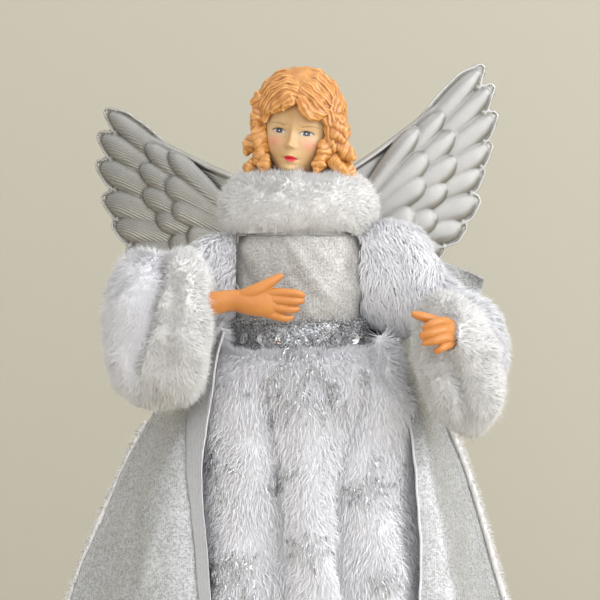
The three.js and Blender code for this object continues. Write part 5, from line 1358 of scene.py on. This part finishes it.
# Soft bumps of the face: x, z, half width, half height and depth.
bumps = [
    (0, 42.5, 1.7, 5.0, 1.0), (0, 38.3, 1.7, 3.2, 1.6), (0, 34.9, 2.1, 1.9, 3.1),
    (0, 33.9, 3.2, 1.3, 1.0), (0, 30.6, 4.2, 3.0, 1.3), (0, 28.8, 3.0, 0.9, 0.9),
    (0, 26.2, 2.6, 1.1, 1.2), (0, 27.55, 3.9, 0.4, -0.7), (0, 24.2, 4.0, 1.0, -0.5),
    (0, 21.3, 4.4, 2.4, 1.6), (0, 51, 11, 7, 0.8),
]
for side in (-1, 1):
    bumps += [
        (side * 7.4, 41.8, 4.6, 3.2, -2.3), (side * 7.4, 41.6, 3.1, 1.9, 1.5),
        (side * 7.2, 44.0, 4.6, 0.9, 0.45), (side * 1.9, 33.7, 1.0, 0.9, 0.9),
        (side * 9.0, 35.2, 4.6, 4.2, 0.9), (side * 8.0, 47.0, 5.5, 1.6, 0.5),
        (side * 4.3, 27.6, 1.0, 1.2, -0.4),
    ]
z = np.concatenate([np.linspace(8, 18, 10), np.linspace(18.4, 50, 150), np.linspace(51, 73.9, 34)])
t = np.linspace(-1, 1, 270, endpoint=False)[None]
a = np.pi * (0.42 * t + 0.58 * t**3)
wide, front, back = read(head_shares, z / 74).T[..., None] * np.array([17.5, 20.6, 21.6])[:, None, None]
z = z[:, None] + 0 * a
forwards = np.clip(np.cos(a), 0, 1)
jaw = 0.26 * np.clip((39 - z) / 18, 0, 1) * (z > 17)
face_x = wide * np.sin(a) * (1 - jaw * forwards**1.5)
relief = sum(d * np.exp(-(((face_x - bx) / w) ** 2) - ((z - bz) / h) ** 2) for bx, bz, w, h, d in bumps)
relief = relief * np.clip(2 * forwards, 0, 1)
face_y = -np.where(np.cos(a) > 0, front, back) * np.sign(np.cos(a)) * np.abs(np.cos(a)) ** 0.9 - relief
shift = np.sqrt(forwards) * np.clip((z - 14) / 8, 0, 1) * np.clip((70 - z) / 12, 0, 1)
cheek = 2.6 * np.clip(-np.sin(a), 0, 1) ** 2 * np.clip((z - 20) / 10, 0, 1) * np.clip((70 - z) / 20, 0, 1)
local = np.stack([face_x - 1.4 * shift - cheek, face_y, z - 1.2 * shift], axis=-1)
paint_x, paint_z = face_x, z

# Vinyl, moulded and painted by hand: skin-coloured and satin, with colours that lie on the surface, and with
# painted shade and painted highlights among them. Its grain is just under a millimetre.
face, put = finish_of("doll_vinyl_paint_and_painted_light", Roughness=0.42, Subsurface_Weight=0.06, Subsurface_Scale=0.002)
paint = add(face, "Attribute", {"attribute_name": "paint"})
place = add(face, "TexCoord").outputs["Object"]
grain = add(face, "TexNoise", Vector=place, Scale=1200.0, Detail=2.0)
bump = add(face, "Bump", Height=grain.outputs[0], Strength=0.12, Distance=0.0002)
put(Base_Color=paint.outputs["Color"], Normal=bump.outputs[0], Subsurface_Radius=(1.0, 0.5, 0.25))
put(Coat_Weight=0.1, Coat_Roughness=0.3)

skin_tone = "#C9A777"
tint = np.ones((*paint_x.shape, 3)) * linear(skin_tone)[:3]
facing_front = (np.cos(a) > 0.05) * np.ones_like(paint_x)


def brush(mask, code, strength=1.0):
    """Lays a colour on the face: the paint there times 1 - share plus the colour times share, where the
    share is the mask times the strength."""
    share = (np.clip(mask, 0, 1) * strength * facing_front)[..., None]
    tint[:] = tint * (1 - share) + np.array(linear(code)[:3]) * share


def soft(distance, edge=0.12):
    """1 where a distance is below zero, falling along a straight line to 0 over an edge."""
    return np.clip(0.5 - distance / (2 * edge), 0, 1)


# Painted light and shade: the sides of the face are painted paler, as if lit, and the forehead under the
# hair, the left of the nose and the lower left cheek are painted tan, as painted shadow and shade.
brush(np.clip((np.abs(paint_x) - 9) / 5, 0, 1), "#D8BE94", 0.7)
brush(np.exp(-(((paint_x + 1.0) / 5.0) ** 2) - ((paint_z - 50.5) / 8.0) ** 2), "#B4864F", 0.6)
brush(np.exp(-(((paint_x + 3.4) / 2.4) ** 2) - ((paint_z - 38.0) / 6.5) ** 2), "#B98C56", 0.5)
brush(np.exp(-(((paint_x + 6.0) / 5.0) ** 2) - ((paint_z - 28.0) / 5.0) ** 2), "#BE9560", 0.4)
for side, ex in ((-1, -7.6), (1, 7.2)):
    u = (paint_x - ex) * side / 3.75
    v = paint_z - 41.8 - 0.25 * u
    lid_top = 1.45 * (1 - u**2) * (1 - 0.15 * u)
    lid_low = -1.15 * (1 - u**2)
    within = soft(np.maximum(v - lid_top, lid_low - v)) * (np.abs(u) < 1)
    brush(np.exp(-(((paint_x - ex) / 4.6) ** 2) - ((paint_z - 43.4) / 1.5) ** 2), "#C9A070", 0.35)
    # Painted shade: a soft grey under each eye.
    brush(np.exp(-(((paint_x - ex) / 4.4) ** 2) - ((paint_z - 40.2) / 1.1) ** 2), "#BDB6AE", 0.35)
    brush(within, "#BDBBB2")
    ring = np.hypot(paint_x - ex - 0.1, paint_z - 41.85)
    brush(within * soft(ring - 1.8), "#1F2630")
    brush(within * soft(ring - 1.35) * (paint_z < 41.9), "#526273")
    brush(within * soft(ring - 0.95), "#101216")
    # Painted highlight: a white dot on each iris.
    brush(soft(np.hypot(paint_x - ex - 0.05, paint_z - 41.95) - 0.3), "#FFFFFF")
    lash = soft(np.abs(v - lid_top - 0.05) - 0.26 - 0.14 * np.clip(u, 0, 1)) * (np.abs(u) < 1.0)
    brush(lash, "#2B211D")
    wing_line = soft(np.abs(v - 0.25 * (u - 1) - 0.1) - 0.2 * (1.35 - u)) * ((u >= 0.95) & (u < 1.35))
    brush(wing_line, "#3A2C25", 0.8)
    brush(soft(np.abs(v - lid_low + 0.05) - 0.1) * (np.abs(u) < 0.95), "#9C8676", 0.6)
    crease = soft(np.abs(v - lid_top - 1.0) - 0.09, 0.2) * (np.abs(u) < 0.9)
    brush(crease, "#B08657", 0.6)
    w = (paint_x * side - 4.6) / 8.6
    arch = 45.0 + 1.1 * np.sin(np.pi * np.clip(w, 0, 1) * 0.8)
    brush(soft(np.abs(paint_z - arch) - 0.26 * (1 - 0.7 * w), 0.2) * ((w > 0) & (w < 1)), "#8A5A33", 0.8)
    brush(np.exp(-(((paint_x - side * 9.3) / 3.4) ** 2) - ((paint_z - 36.0) / 3.0) ** 2), "#DE7C78", 0.5)
    # Painted shade: a darker spot in each nostril.
    brush(soft(np.hypot((paint_x - side * 1.25) / 1.2, paint_z - 32.95) - 0.36, 0.2), "#B08056", 0.45)
x = np.abs(paint_x - 0.6)
lip_top = 27.6 + 1.55 * (1 - (x / 4.1) ** 1.5) - 0.35 * np.exp(-((x / 0.8) ** 2))
lip_low = 27.6 - 1.85 * (1 - (x / 3.6) ** 2)
brush(soft(np.maximum(paint_z - lip_top, lip_low - paint_z), 0.16) * (x < 4.1), "#CE2836")
brush(soft(np.abs(paint_z - 27.5 + 0.1 * np.cos(paint_x)) - 0.12) * (x < 3.8), "#7E1424", 0.85)
# Painted highlight: a pale pink spot on the middle of the lower lip. Painted shade: tan under the lower lip.
brush(np.exp(-((paint_x / 0.9) ** 2) - ((paint_z - 26.4) / 0.4) ** 2), "#F07F85", 0.5)
brush(np.exp(-((paint_x / 3.2) ** 2) - ((paint_z - 24.6) / 0.6) ** 2), "#BF9A6A", 0.4)

form = skin(head_place(local))
head = build("face_and_neck", form, face, "head", ["head"])
layer = head.data.attributes.new("paint", "FLOAT_COLOR", "POINT")
colours = np.ones((len(form[0]), 4))
colours[:, :3] = linear(skin_tone)[:3]
colours[: tint.shape[0] * tint.shape[1], :3] = tint.reshape(-1, 3)
layer.data.foreach_set("color", colours.astype(np.float32).ravel())

# Hair: part of the head's casting, in darker vinyl. Locks are swept from a parting into a rolled fringe,
# and sausage curls hang down both sides and the back.

# Plasticised vinyl, moulded: painted shade lies in the grooves between strands, and painted highlights on
# the ridges.
hair_vinyl = moulded_vinyl("moulded_vinyl_painted_groove_light", "#C5873B", "#B8752E", 0.36, 0.15, ("#8E4E1A", "#E2AE66"))

# Height as a share of 77.8 mm, then the half width, the front and the back as shares of their largest.
hair_shares = [
    [1, 0.103, 0.102, 0.097],
    [0.977, 0.373, 0.359, 0.358],
    [0.938, 0.579, 0.562, 0.575],
    [0.887, 0.75, 0.727, 0.746],
    [0.81, 0.905, 0.883, 0.91],
    [0.72, 0.976, 0.969, 0.993],
    [0.617, 1, 1, 1],
    [0.514, 0.968, 0.977, 0.948],
    [0.411, 0.865, 0.883, 0.851],
    [0.308, 0.655, 0.703, 0.653],
]


def hair_size(z):
    """The hair's half width and its reach to the front and to the back at heights z."""
    return (read(hair_shares, np.ravel(z) / 77.8) * [25.2, 25.6, 26.8]).T


def on_hair(x, z, sink=2.2):
    """The place on the front of the hair at x, z, a little under its surface: y is minus the front's
    reach times the root of 1 - (x / half width) ** 2."""
    wide, front, _ = hair_size(z)
    wide, front = wide - sink, front - sink
    x = np.clip(x, -wide * 0.995, wide * 0.995)
    return np.stack([x, -front * np.sqrt(1 - (x / wide) ** 2), z], axis=-1)


def lock(path, wide, high, steps=60, ridges=5, twist=1.2, sides=48, waves=0.12, ridge_depth=0.17):
    """A lock of hair along a path. Its section swells by a cosine of the angle, which makes the strand
    ridges and wanders along the lock, and by a cosine of the length."""
    path = np.asarray(path, float)
    t = np.linspace(0, 1, len(path))
    girth = np.interp(t, [0, 0.25, 0.7, 1], [0.55, 1, 0.95, 0.4])
    rows = np.column_stack([path, wide * girth, high * girth])
    line = spline(path, steps)
    up = line - np.array([-1.0, 2.0, 44.0])
    up /= np.linalg.norm(up, axis=1, keepdims=True)

    def shape(t, a):
        """1 plus the ridges plus the waves."""
        strands = ridge_depth * np.cos(2 * ridges * a + twist * 2 * np.pi * t + np.sin(9 * t))
        return 1 + strands + waves * np.cos(8 * t * np.pi)

    return tube(rows, steps, sides, up=up, shape=shape)


def curl(centre, radius, length, lean, turns=2.2):
    """A short sausage curl: a round limb, whose radius falls as the root of 1 - (1.7 t) ** 2, with a
    spiral groove wound round it."""
    centre = np.asarray(centre, float)
    way = np.array([lean[0], lean[1], -1.0])
    way /= np.linalg.norm(way)
    t = np.linspace(-0.5, 0.5, 9)[:, None]
    girth = radius * np.sqrt(1 - (1.7 * t) ** 2)
    rows = np.column_stack([centre + way * length * t, girth, girth])

    def shape(t, a):
        """1.02 less a groove at one angle, which turns along the curl, plus five fine ridges."""
        groove = 0.15 * np.exp(-((np.cos(0.5 * a + turns * np.pi * t) / 0.4) ** 2))
        return 1.02 - groove + 0.045 * np.cos(5 * (a + 2 * turns * np.pi * t))

    return tube(rows, 34, 40, up=(0, 1, 0.2), shape=shape)


# A lock is the x, z places that it passes on the front of the hair.
left_locks = [
    [(-3.3, 75.0), (-12.4, 72.0), (-19.8, 67.3), (-23.4, 61.5), (-24.6, 54.5), (-25.6, 47.5)],
    [(-2.5, 71), (-9.3, 68.6), (-15.9, 65.4), (-20.0, 60.3), (-22.2, 53.6), (-24.4, 46.0)],
    [(-2.0, 67), (-8.1, 65.5), (-13.5, 62.0), (-17.2, 57.0), (-18.9, 51.4), (-20.9, 44.1)],
    [(-1.9, 63.4), (-6.8, 62.6), (-11.8, 59.8), (-15.0, 55.1), (-16.4, 50.2), (-18.0, 45.4)],
    [(-1.6, 60.4), (-5.0, 59.6), (-8.8, 57.2), (-11.0, 52.6), (-12.2, 49.8)],
    [(-1.4, 57.9), (-3.6, 57.0), (-5.9, 54.8), (-7.2, 51.8)],
]
right_locks = [
    [(-1.0, 76.2), (4.7, 75.7), (11.7, 73.0), (17.3, 68.1), (21.4, 62.3), (23.9, 55.4)],
    [(0.3, 72), (5.9, 71.6), (12.0, 68.3), (17.2, 63.5), (21.0, 59.1), (23.4, 52.7)],
    [(0.1, 68), (4.8, 66.9), (9.9, 64.0), (15.4, 60.8), (19.9, 56.6), (23.0, 49.4)],
    [(0.1, 64.2), (4.0, 62.8), (8.5, 60.2), (12.5, 57.1), (16.9, 55.0), (20.8, 49.2)],
    [(0.0, 60.6), (3.4, 57.9), (6.9, 54.4), (10.8, 52.4), (14.8, 53.3), (18.9, 57.0)],
    [(0.0, 57.6), (2.7, 55.0), (5.6, 51.6), (8.9, 49.9), (12.4, 50.2)],
]
parts = []
for locks in (left_locks, right_locks):
    for k, path in enumerate(locks):
        x, zz = np.array(path).T
        ridges, waves, ridge_depth = (3, 0.04, 0.1) if k > 3 else (4, 0.1, 0.16)
        parts.append(lock(on_hair(x, zz, 2.4 - 0.12 * k), 3.7 - 0.2 * k, 2.7, ridges=ridges, waves=waves,
                          ridge_depth=ridge_depth))
for k, angle in enumerate(np.linspace(math.radians(66), math.radians(268), 16)):
    zz = np.linspace(75.5, 22, 9)
    wide, _, back = hair_size(zz)
    wave = 0.16 * np.sin(zz / 5 + 2.1 * k)
    across = (wide - 2.4) * np.sin(angle + wave)
    deep = -(back - 2.4) * np.cos(angle + wave)
    parts.append(lock(np.stack([across, deep, zz], axis=-1), 4.9, 3.0, steps=60, ridges=5, twist=1.0))
# A curl is its middle, radius, length and lean.
left_curls = [
    (-26.6, -4, 32.6, 5.0, 9.5, (-0.5, 0)), (-19.0, -12, 27.0, 4.2, 10, (-0.3, 0)),
    (-24.0, -7, 19.6, 4.6, 10, (-0.7, 0)), (-15.6, -14, 22.0, 3.8, 8, (-0.3, 0)),
    (-21.0, -11, 37.0, 4.2, 10, (0.2, 0)), (-23.0, -7, 41.5, 4.4, 10, (0.1, 0)),
    (-22.0, 6, 27.0, 5.0, 13, (-0.4, 0.1)), (-21.2, -8, 53.0, 5.0, 11, (0.5, 0)),
    (-21.6, -10, 46.8, 4.6, 9, (-0.5, 0)), (-20.6, -12, 33.6, 3.8, 9, (0.4, 0)),
]
right_curls = [
    (20.3, -12, 52.8, 3.7, 12, (2.5, 0)), (21.0, -12, 48.0, 4.0, 13, (2.2, 0)),
    (20.6, -12, 43.0, 3.8, 12, (2.0, 0)), (24.6, -6, 47.5, 4.8, 14, (0.3, 0)),
    (24.4, -8, 36.4, 4.6, 17, (1.4, 0)), (15.6, -13, 33.0, 4.0, 10, (0.1, 0)),
    (14.0, -14, 26.0, 3.8, 9, (-0.2, 0)), (27.6, -5, 25.4, 4.4, 12, (1.1, 0)),
    (18.6, -11, 38.4, 3.8, 9, (0.6, 0)), (21.0, -9, 28.6, 4.0, 19, (1.4, 0)),
    (22.0, 6, 28.0, 5.0, 13, (0.4, 0.1)),
]
back_curls = [
    (15 * math.sin(k), 20 * math.cos(k) + 2, 24 + 2 * math.cos(3 * k), 5.0, 13, (0, 0.1))
    for k in (-1.1, -0.55, 0, 0.55, 1.1)
]
parts += [curl(c[:3], *c[3:]) for c in left_curls + right_curls + back_curls]
# The scalp under the locks, open where the face is, and a cap over the crown.
zz = np.linspace(77.0, 27, 60)
wide, front, back = (v[:, None] - 2.6 for v in hair_size(zz))
half_window = np.interp(zz, [27, 38, 47, 54, 58, 60], [16, 16.8, 16.8, 9, 2, 0])[:, None]
open_right, open_left = (
    np.arcsin(np.clip((half_window + more * (half_window > 15)) / wide, 0, 1)) for more in (0, 2.4)
)
t = np.linspace(0, 1, 120)[None]
a = open_right + 0.001 + (2 * np.pi - open_right - open_left - 0.002) * t
deep = np.where(np.cos(a) > 0, front, back)
parts.append(cloth(np.stack([wide * np.sin(a), -deep * np.cos(a), zz[:, None] + 0 * a], axis=-1), 3.4))
parts.append(skin(ellipsoid([-0.3, 0.5, 72.4], [11, 11, 4.2], 24, 32)))
points, quads, tris = merged(*parts)
fuller = np.clip((points[:, 2] - 36) / 15, 0, 1) * 2.4 * (np.abs(points[:, 0]) / 25) ** 1.5
tip = np.clip((points[:, 2] - 48) / 15, 0, 1) * 0.1 * points[:, 0]
points = points - np.column_stack([fuller, 0 * tip, tip])
points = points + 0.65 * np.column_stack([noise(points, 8, seed) for seed in (91, 92, 93)])
melted("hair_locks", (head_place(points), quads, tris), 0.38, 2, hair_vinyl, "head",
       ["hair"], thinned=0.44)

# Wings: two layers of metallised film welded round padding, one pad for each feather, with a flat rim and
# a corded edge. Each wing is sewn to a tube that turns on its wire post.

# Metallised polyester film over wadding, embossed: dull silver with ribs 0.7 mm apart, with painted shade in
# the valleys between the feathers and painted highlights on their crowns.
wing_cloth, put = finish_of("embossed_metallised_film", Metallic=0.88)
place = add(wing_cloth, "TexCoord").outputs["Object"]
ribs = add(wing_cloth, "TexWave", {"bands_direction": "DIAGONAL"}, Vector=place, Scale=440.0,
           Distortion=0.8, Detail=1.0)
broad = add(wing_cloth, "TexNoise", Vector=place, Scale=90.0, Detail=4.0)
# Painted shade and highlight: the mesh's curvature darkens the valleys and lightens the crowns.
painted_light_by_curvature = add(wing_cloth, "NewGeometry").outputs["Pointiness"]
painted_valley_shade_to_crown_highlight = [(0.44, "#55534D"), (0.495, "#8F8E8A"), (0.54, "#B9B8B5")]
painted_relief_light = add(wing_cloth, "ValToRGB", {"stops": painted_valley_shade_to_crown_highlight}, Fac=painted_light_by_curvature).outputs["Color"]
thread = add(wing_cloth, "Math", {"operation": "MULTIPLY_ADD"}, i0=ribs.outputs[1], i1=0.2, i2=0.88)
cloud = add(wing_cloth, "Math", {"operation": "MULTIPLY_ADD"}, i0=broad.outputs[0], i1=0.3, i2=0.85)
both = add(wing_cloth, "Math", {"operation": "MULTIPLY"}, i0=thread.outputs[0], i1=cloud.outputs[0])
tone = add(wing_cloth, "VectorMath", {"operation": "SCALE"}, i0=painted_relief_light, Scale=both.outputs[0])
bump = add(wing_cloth, "Bump", Height=ribs.outputs[1], Strength=0.55, Distance=0.0002)
put(Base_Color=tone.outputs[0], Normal=bump.outputs[0], Roughness=0.33)

wing_length = 138.0
outer_feathers = {
    -1: [(48.6, 1.0, 0.05), (42.6, 0.975, 0.06), (35.8, 0.925, 0.066), (27.6, 0.85, 0.07),
         (20.6, 0.775, 0.07), (12.0, 0.7, 0.066), (3.5, 0.6, 0.06), (-5, 0.48, 0.056)],
    1: [(48.6, 1.0, 0.05), (43.6, 0.97, 0.056), (37.8, 0.905, 0.062), (31.8, 0.815, 0.064),
        (26.2, 0.735, 0.064), (17.6, 0.672, 0.066), (9.2, 0.59, 0.06), (0.5, 0.49, 0.056)],
}
secondaries = [
    (48.5, 0.755, 0.05), (41.6, 0.73, 0.058), (34.2, 0.67, 0.062),
    (27, 0.575, 0.062), (16, 0.49, 0.062), (4, 0.4, 0.05),
]
tertiaries = [(52, 0.63, 0.045), (42.6, 0.58, 0.06), (34.6, 0.505, 0.062), (21, 0.4, 0.062)]
leading = [(49.2, 0.93), (50.2, 0.861), (51.2, 0.752), (54, 0.625), (60.3, 0.466), (71.2, 0.343)]


def wing_form(side, raised):
    """A wing's feathers, its rolled leading edge and the sheet that they are sewn on. A feather's half
    width and depth are read from five shares of its length, and its edge is a cord along
    reach * (1 - 0.62 |s| ** 2.6)."""

    def place(direction, reach, lift=0.0):
        """x = reach * length * cos(direction) and z the same with its sine."""
        angle = math.radians(direction + raised)
        return [side * reach * wing_length * math.cos(angle), lift, reach * wing_length * math.sin(angle)]

    primaries = outer_feathers[side]
    parts = []
    layers = ((primaries, 0.0, 5.2, 1.6), (secondaries, -2.4, 5.4, 0.5), (tertiaries, -4.4, 5.4, 0.3))
    for rows, lift, thick, rim in layers:
        for direction, reach, half in rows:
            t = np.array([0, 0.45, 0.75, 0.9, 0.98])
            wide = np.array([0.45, 0.9, 1, 0.82, 0.4]) * half * wing_length
            deep = np.array([0.5, 0.95, 1.1, 0.95, 0.5]) * thick / 2
            centre = [place(direction, 0.2 + (reach - 0.2) * s, lift) for s in t]
            parts.append(tube(np.column_stack([centre, wide * 0.93, deep]), 40, 32, up=(0, -1, 0)))
            leaf = np.column_stack([centre, wide + rim, np.full(5, 0.75)])
            leaf[:, 1] += 0.5
            leaf[-1, :3] = np.array(place(direction, reach + 0.004, lift + 0.5))
            parts.append(tube(leaf, 40, 24, up=(0, -1, 0)))
            if rows is not primaries:
                continue
            s = np.linspace(-1, 1, 31)
            along = 0.2 + (reach + 0.02 - 0.2) * (1 - np.abs(s) ** 2.6 * 0.62)
            wide_at = np.interp(1 - np.abs(s) ** 2.6 * 0.62, t, (wide + rim))
            angle = math.radians(direction + raised)
            sideways = np.array([-side * math.sin(angle), 0, math.cos(angle)])
            edge = np.array([place(direction, d, lift) for d in along])
            out = np.sign(s) * wide_at * np.clip(np.abs(s) * 1.9, 0, 1) ** 0.75
            edge = edge + sideways * out[:, None]
            parts.append(tube(np.column_stack([edge, np.full(31, 0.8)]), 90, 8, up=(0, -1, 0)))
    roll = [place(d, r) for d, r in leading]
    parts.append(tube(np.column_stack([roll, np.full(6, 2.0)]), 50, 16, up=(0, -1, 0)))
    outline = [[side * 2.3, 0, -18.5], [side * 4.6, 0, -18.5]]
    outline += [place(d, r * 0.9) for d, r, _ in primaries[::-1]] + roll
    outline += [[side * 4.6, 0, 18.5], [side * 2.3, 0, 18.5]]
    ring = np.array(outline)
    rings = np.stack([ring + [0, -0.9, 0], ring + [0, 0.9, 0]])
    parts.append(skin(rings))
    return merged(*parts)


def hinge_sleeve():
    """A short tube about the post: four rings, up the outside and down the bore."""
    a = np.linspace(0, 2 * np.pi, 28, endpoint=False)
    round_it = np.stack([np.cos(a), np.sin(a), 0 * a], axis=-1)
    profile = ((1.55, -18.4), (2.8, -18.4), (2.8, 18.4), (1.55, 18.4))
    return skin(np.array([round_it * r + [0, 0, z] for r, z in profile]), closed=True)


for name, side, sweep, raised in (("left", -1, 28, -12.5), ("right", 1, 10, 0)):
    turn = math.radians(side * sweep)
    spin = np.array([[math.cos(turn), -math.sin(turn), 0], [math.sin(turn), math.cos(turn), 0], [0, 0, 1]])
    placed = []
    for points, quads, tris in (wing_form(side, raised), hinge_sleeve()):
        placed.append((points @ spin.T + [side * 14, 41.384, 297], quads, tris))
    wing = melted(f"wing_{name}", placed[0], 0.6, 3, wing_cloth, f"{name}_wing",
                  [f"{name}_wing"], thinned=0.4)
    build(f"wing_{name}_hinge_sleeve", placed[1], wing_cloth, f"{name}_wing")

# Room: a plain painted wall behind and a plain painted table below, neither of them part of the angel.
# Each board is seen from its front only, so a view from behind looks through it.


def board(name, corners, code):
    """A flat plain surface through its four corners, clear where its back faces."""
    mat, put = finish_of(name, Roughness=0.9)
    put(Base_Color=linear(code))
    clear = add(mat, "BsdfTransparent")
    behind = add(mat, "NewGeometry").outputs["Backfacing"]
    both = add(mat, "MixShader", Fac=behind, i1=mat.node_tree.nodes["Principled BSDF"].outputs[0],
               i2=clear.outputs[0])
    mat.node_tree.links.new(both.outputs[0], mat.node_tree.nodes["Material Output"].inputs["Surface"])
    mesh = bpy.data.meshes.new(name)
    mesh.from_pydata([np.array(corner) / 1000 for corner in corners], [], [(0, 1, 2, 3)])
    piece = bpy.data.objects.new(name, mesh)
    mesh.materials.append(mat)
    scene.collection.objects.link(piece)


board("wall", [(-3000, 610, -600), (3000, 610, -600), (3000, 610, 2400), (-3000, 610, 2400)], "#B0AC9E")
board("table", [(-3000, -1200, 0), (3000, -1200, 0), (3000, 1200, 0), (-3000, 1200, 0)], "#C9C2B3")


def lamp(name, place, aim, size, power, code):
    """A square soft light at a place, turned so that it shines along the line to its aim."""
    data = bpy.data.lights.new(name, "AREA")
    data.size = size / 1000
    data.energy = power
    data.color = linear(code)[:3]
    light = bpy.data.objects.new(name, data)
    light.location = np.array(place) / 1000
    way = Vector(np.array(aim, float) - np.array(place, float))
    light.rotation_euler = way.to_track_quat("-Z", "Y").to_euler()
    scene.collection.objects.link(light)


lamp("window", (1450, -760, 850), (0, 0, 250), 1500, 25, "#FBFCFF")
lamp("fill", (100, -1800, 500), (0, 0, 250), 1900, 11.5, "#F4F6FF")
lamp("left_card", (-1300, -850, 330), (-60, 60, 330), 600, 2.6, "#FBF8F0")
lamp("wall_light", (0, 100, 1300), (0, 600, 300), 1200, 3, "#FFFDF8")
# The room's own light: a soft grey from below that turns to white overhead, a little more to the right.
world = bpy.data.worlds.new("room")
world.use_nodes = True
way = add(world, "TexCoord").outputs["Generated"]
split = add(world, "SeparateXYZ", Vector=way)
tilt = add(world, "Math", {"operation": "MULTIPLY_ADD"}, i0=split.outputs["X"], i1=0.18,
           i2=split.outputs["Z"])
height = add(world, "Math", {"operation": "MULTIPLY_ADD"}, i0=tilt.outputs[0], i1=0.5, i2=0.5)
stops = [(0.2, "#6E6A63"), (0.5, "#C8C7C6"), (0.75, "#FFFFFF")]
sky = add(world, "ValToRGB", {"stops": stops}, Fac=height.outputs[0]).outputs["Color"]
world.node_tree.links.new(sky, world.node_tree.nodes["Background"].inputs[0])
world.node_tree.nodes["Background"].inputs[1].default_value = 1.1
scene.world = world
# More bounces than usual, because light goes from strand to strand many times in white pile.
scene.cycles.max_bounces = 16
scene.cycles.diffuse_bounces = 10
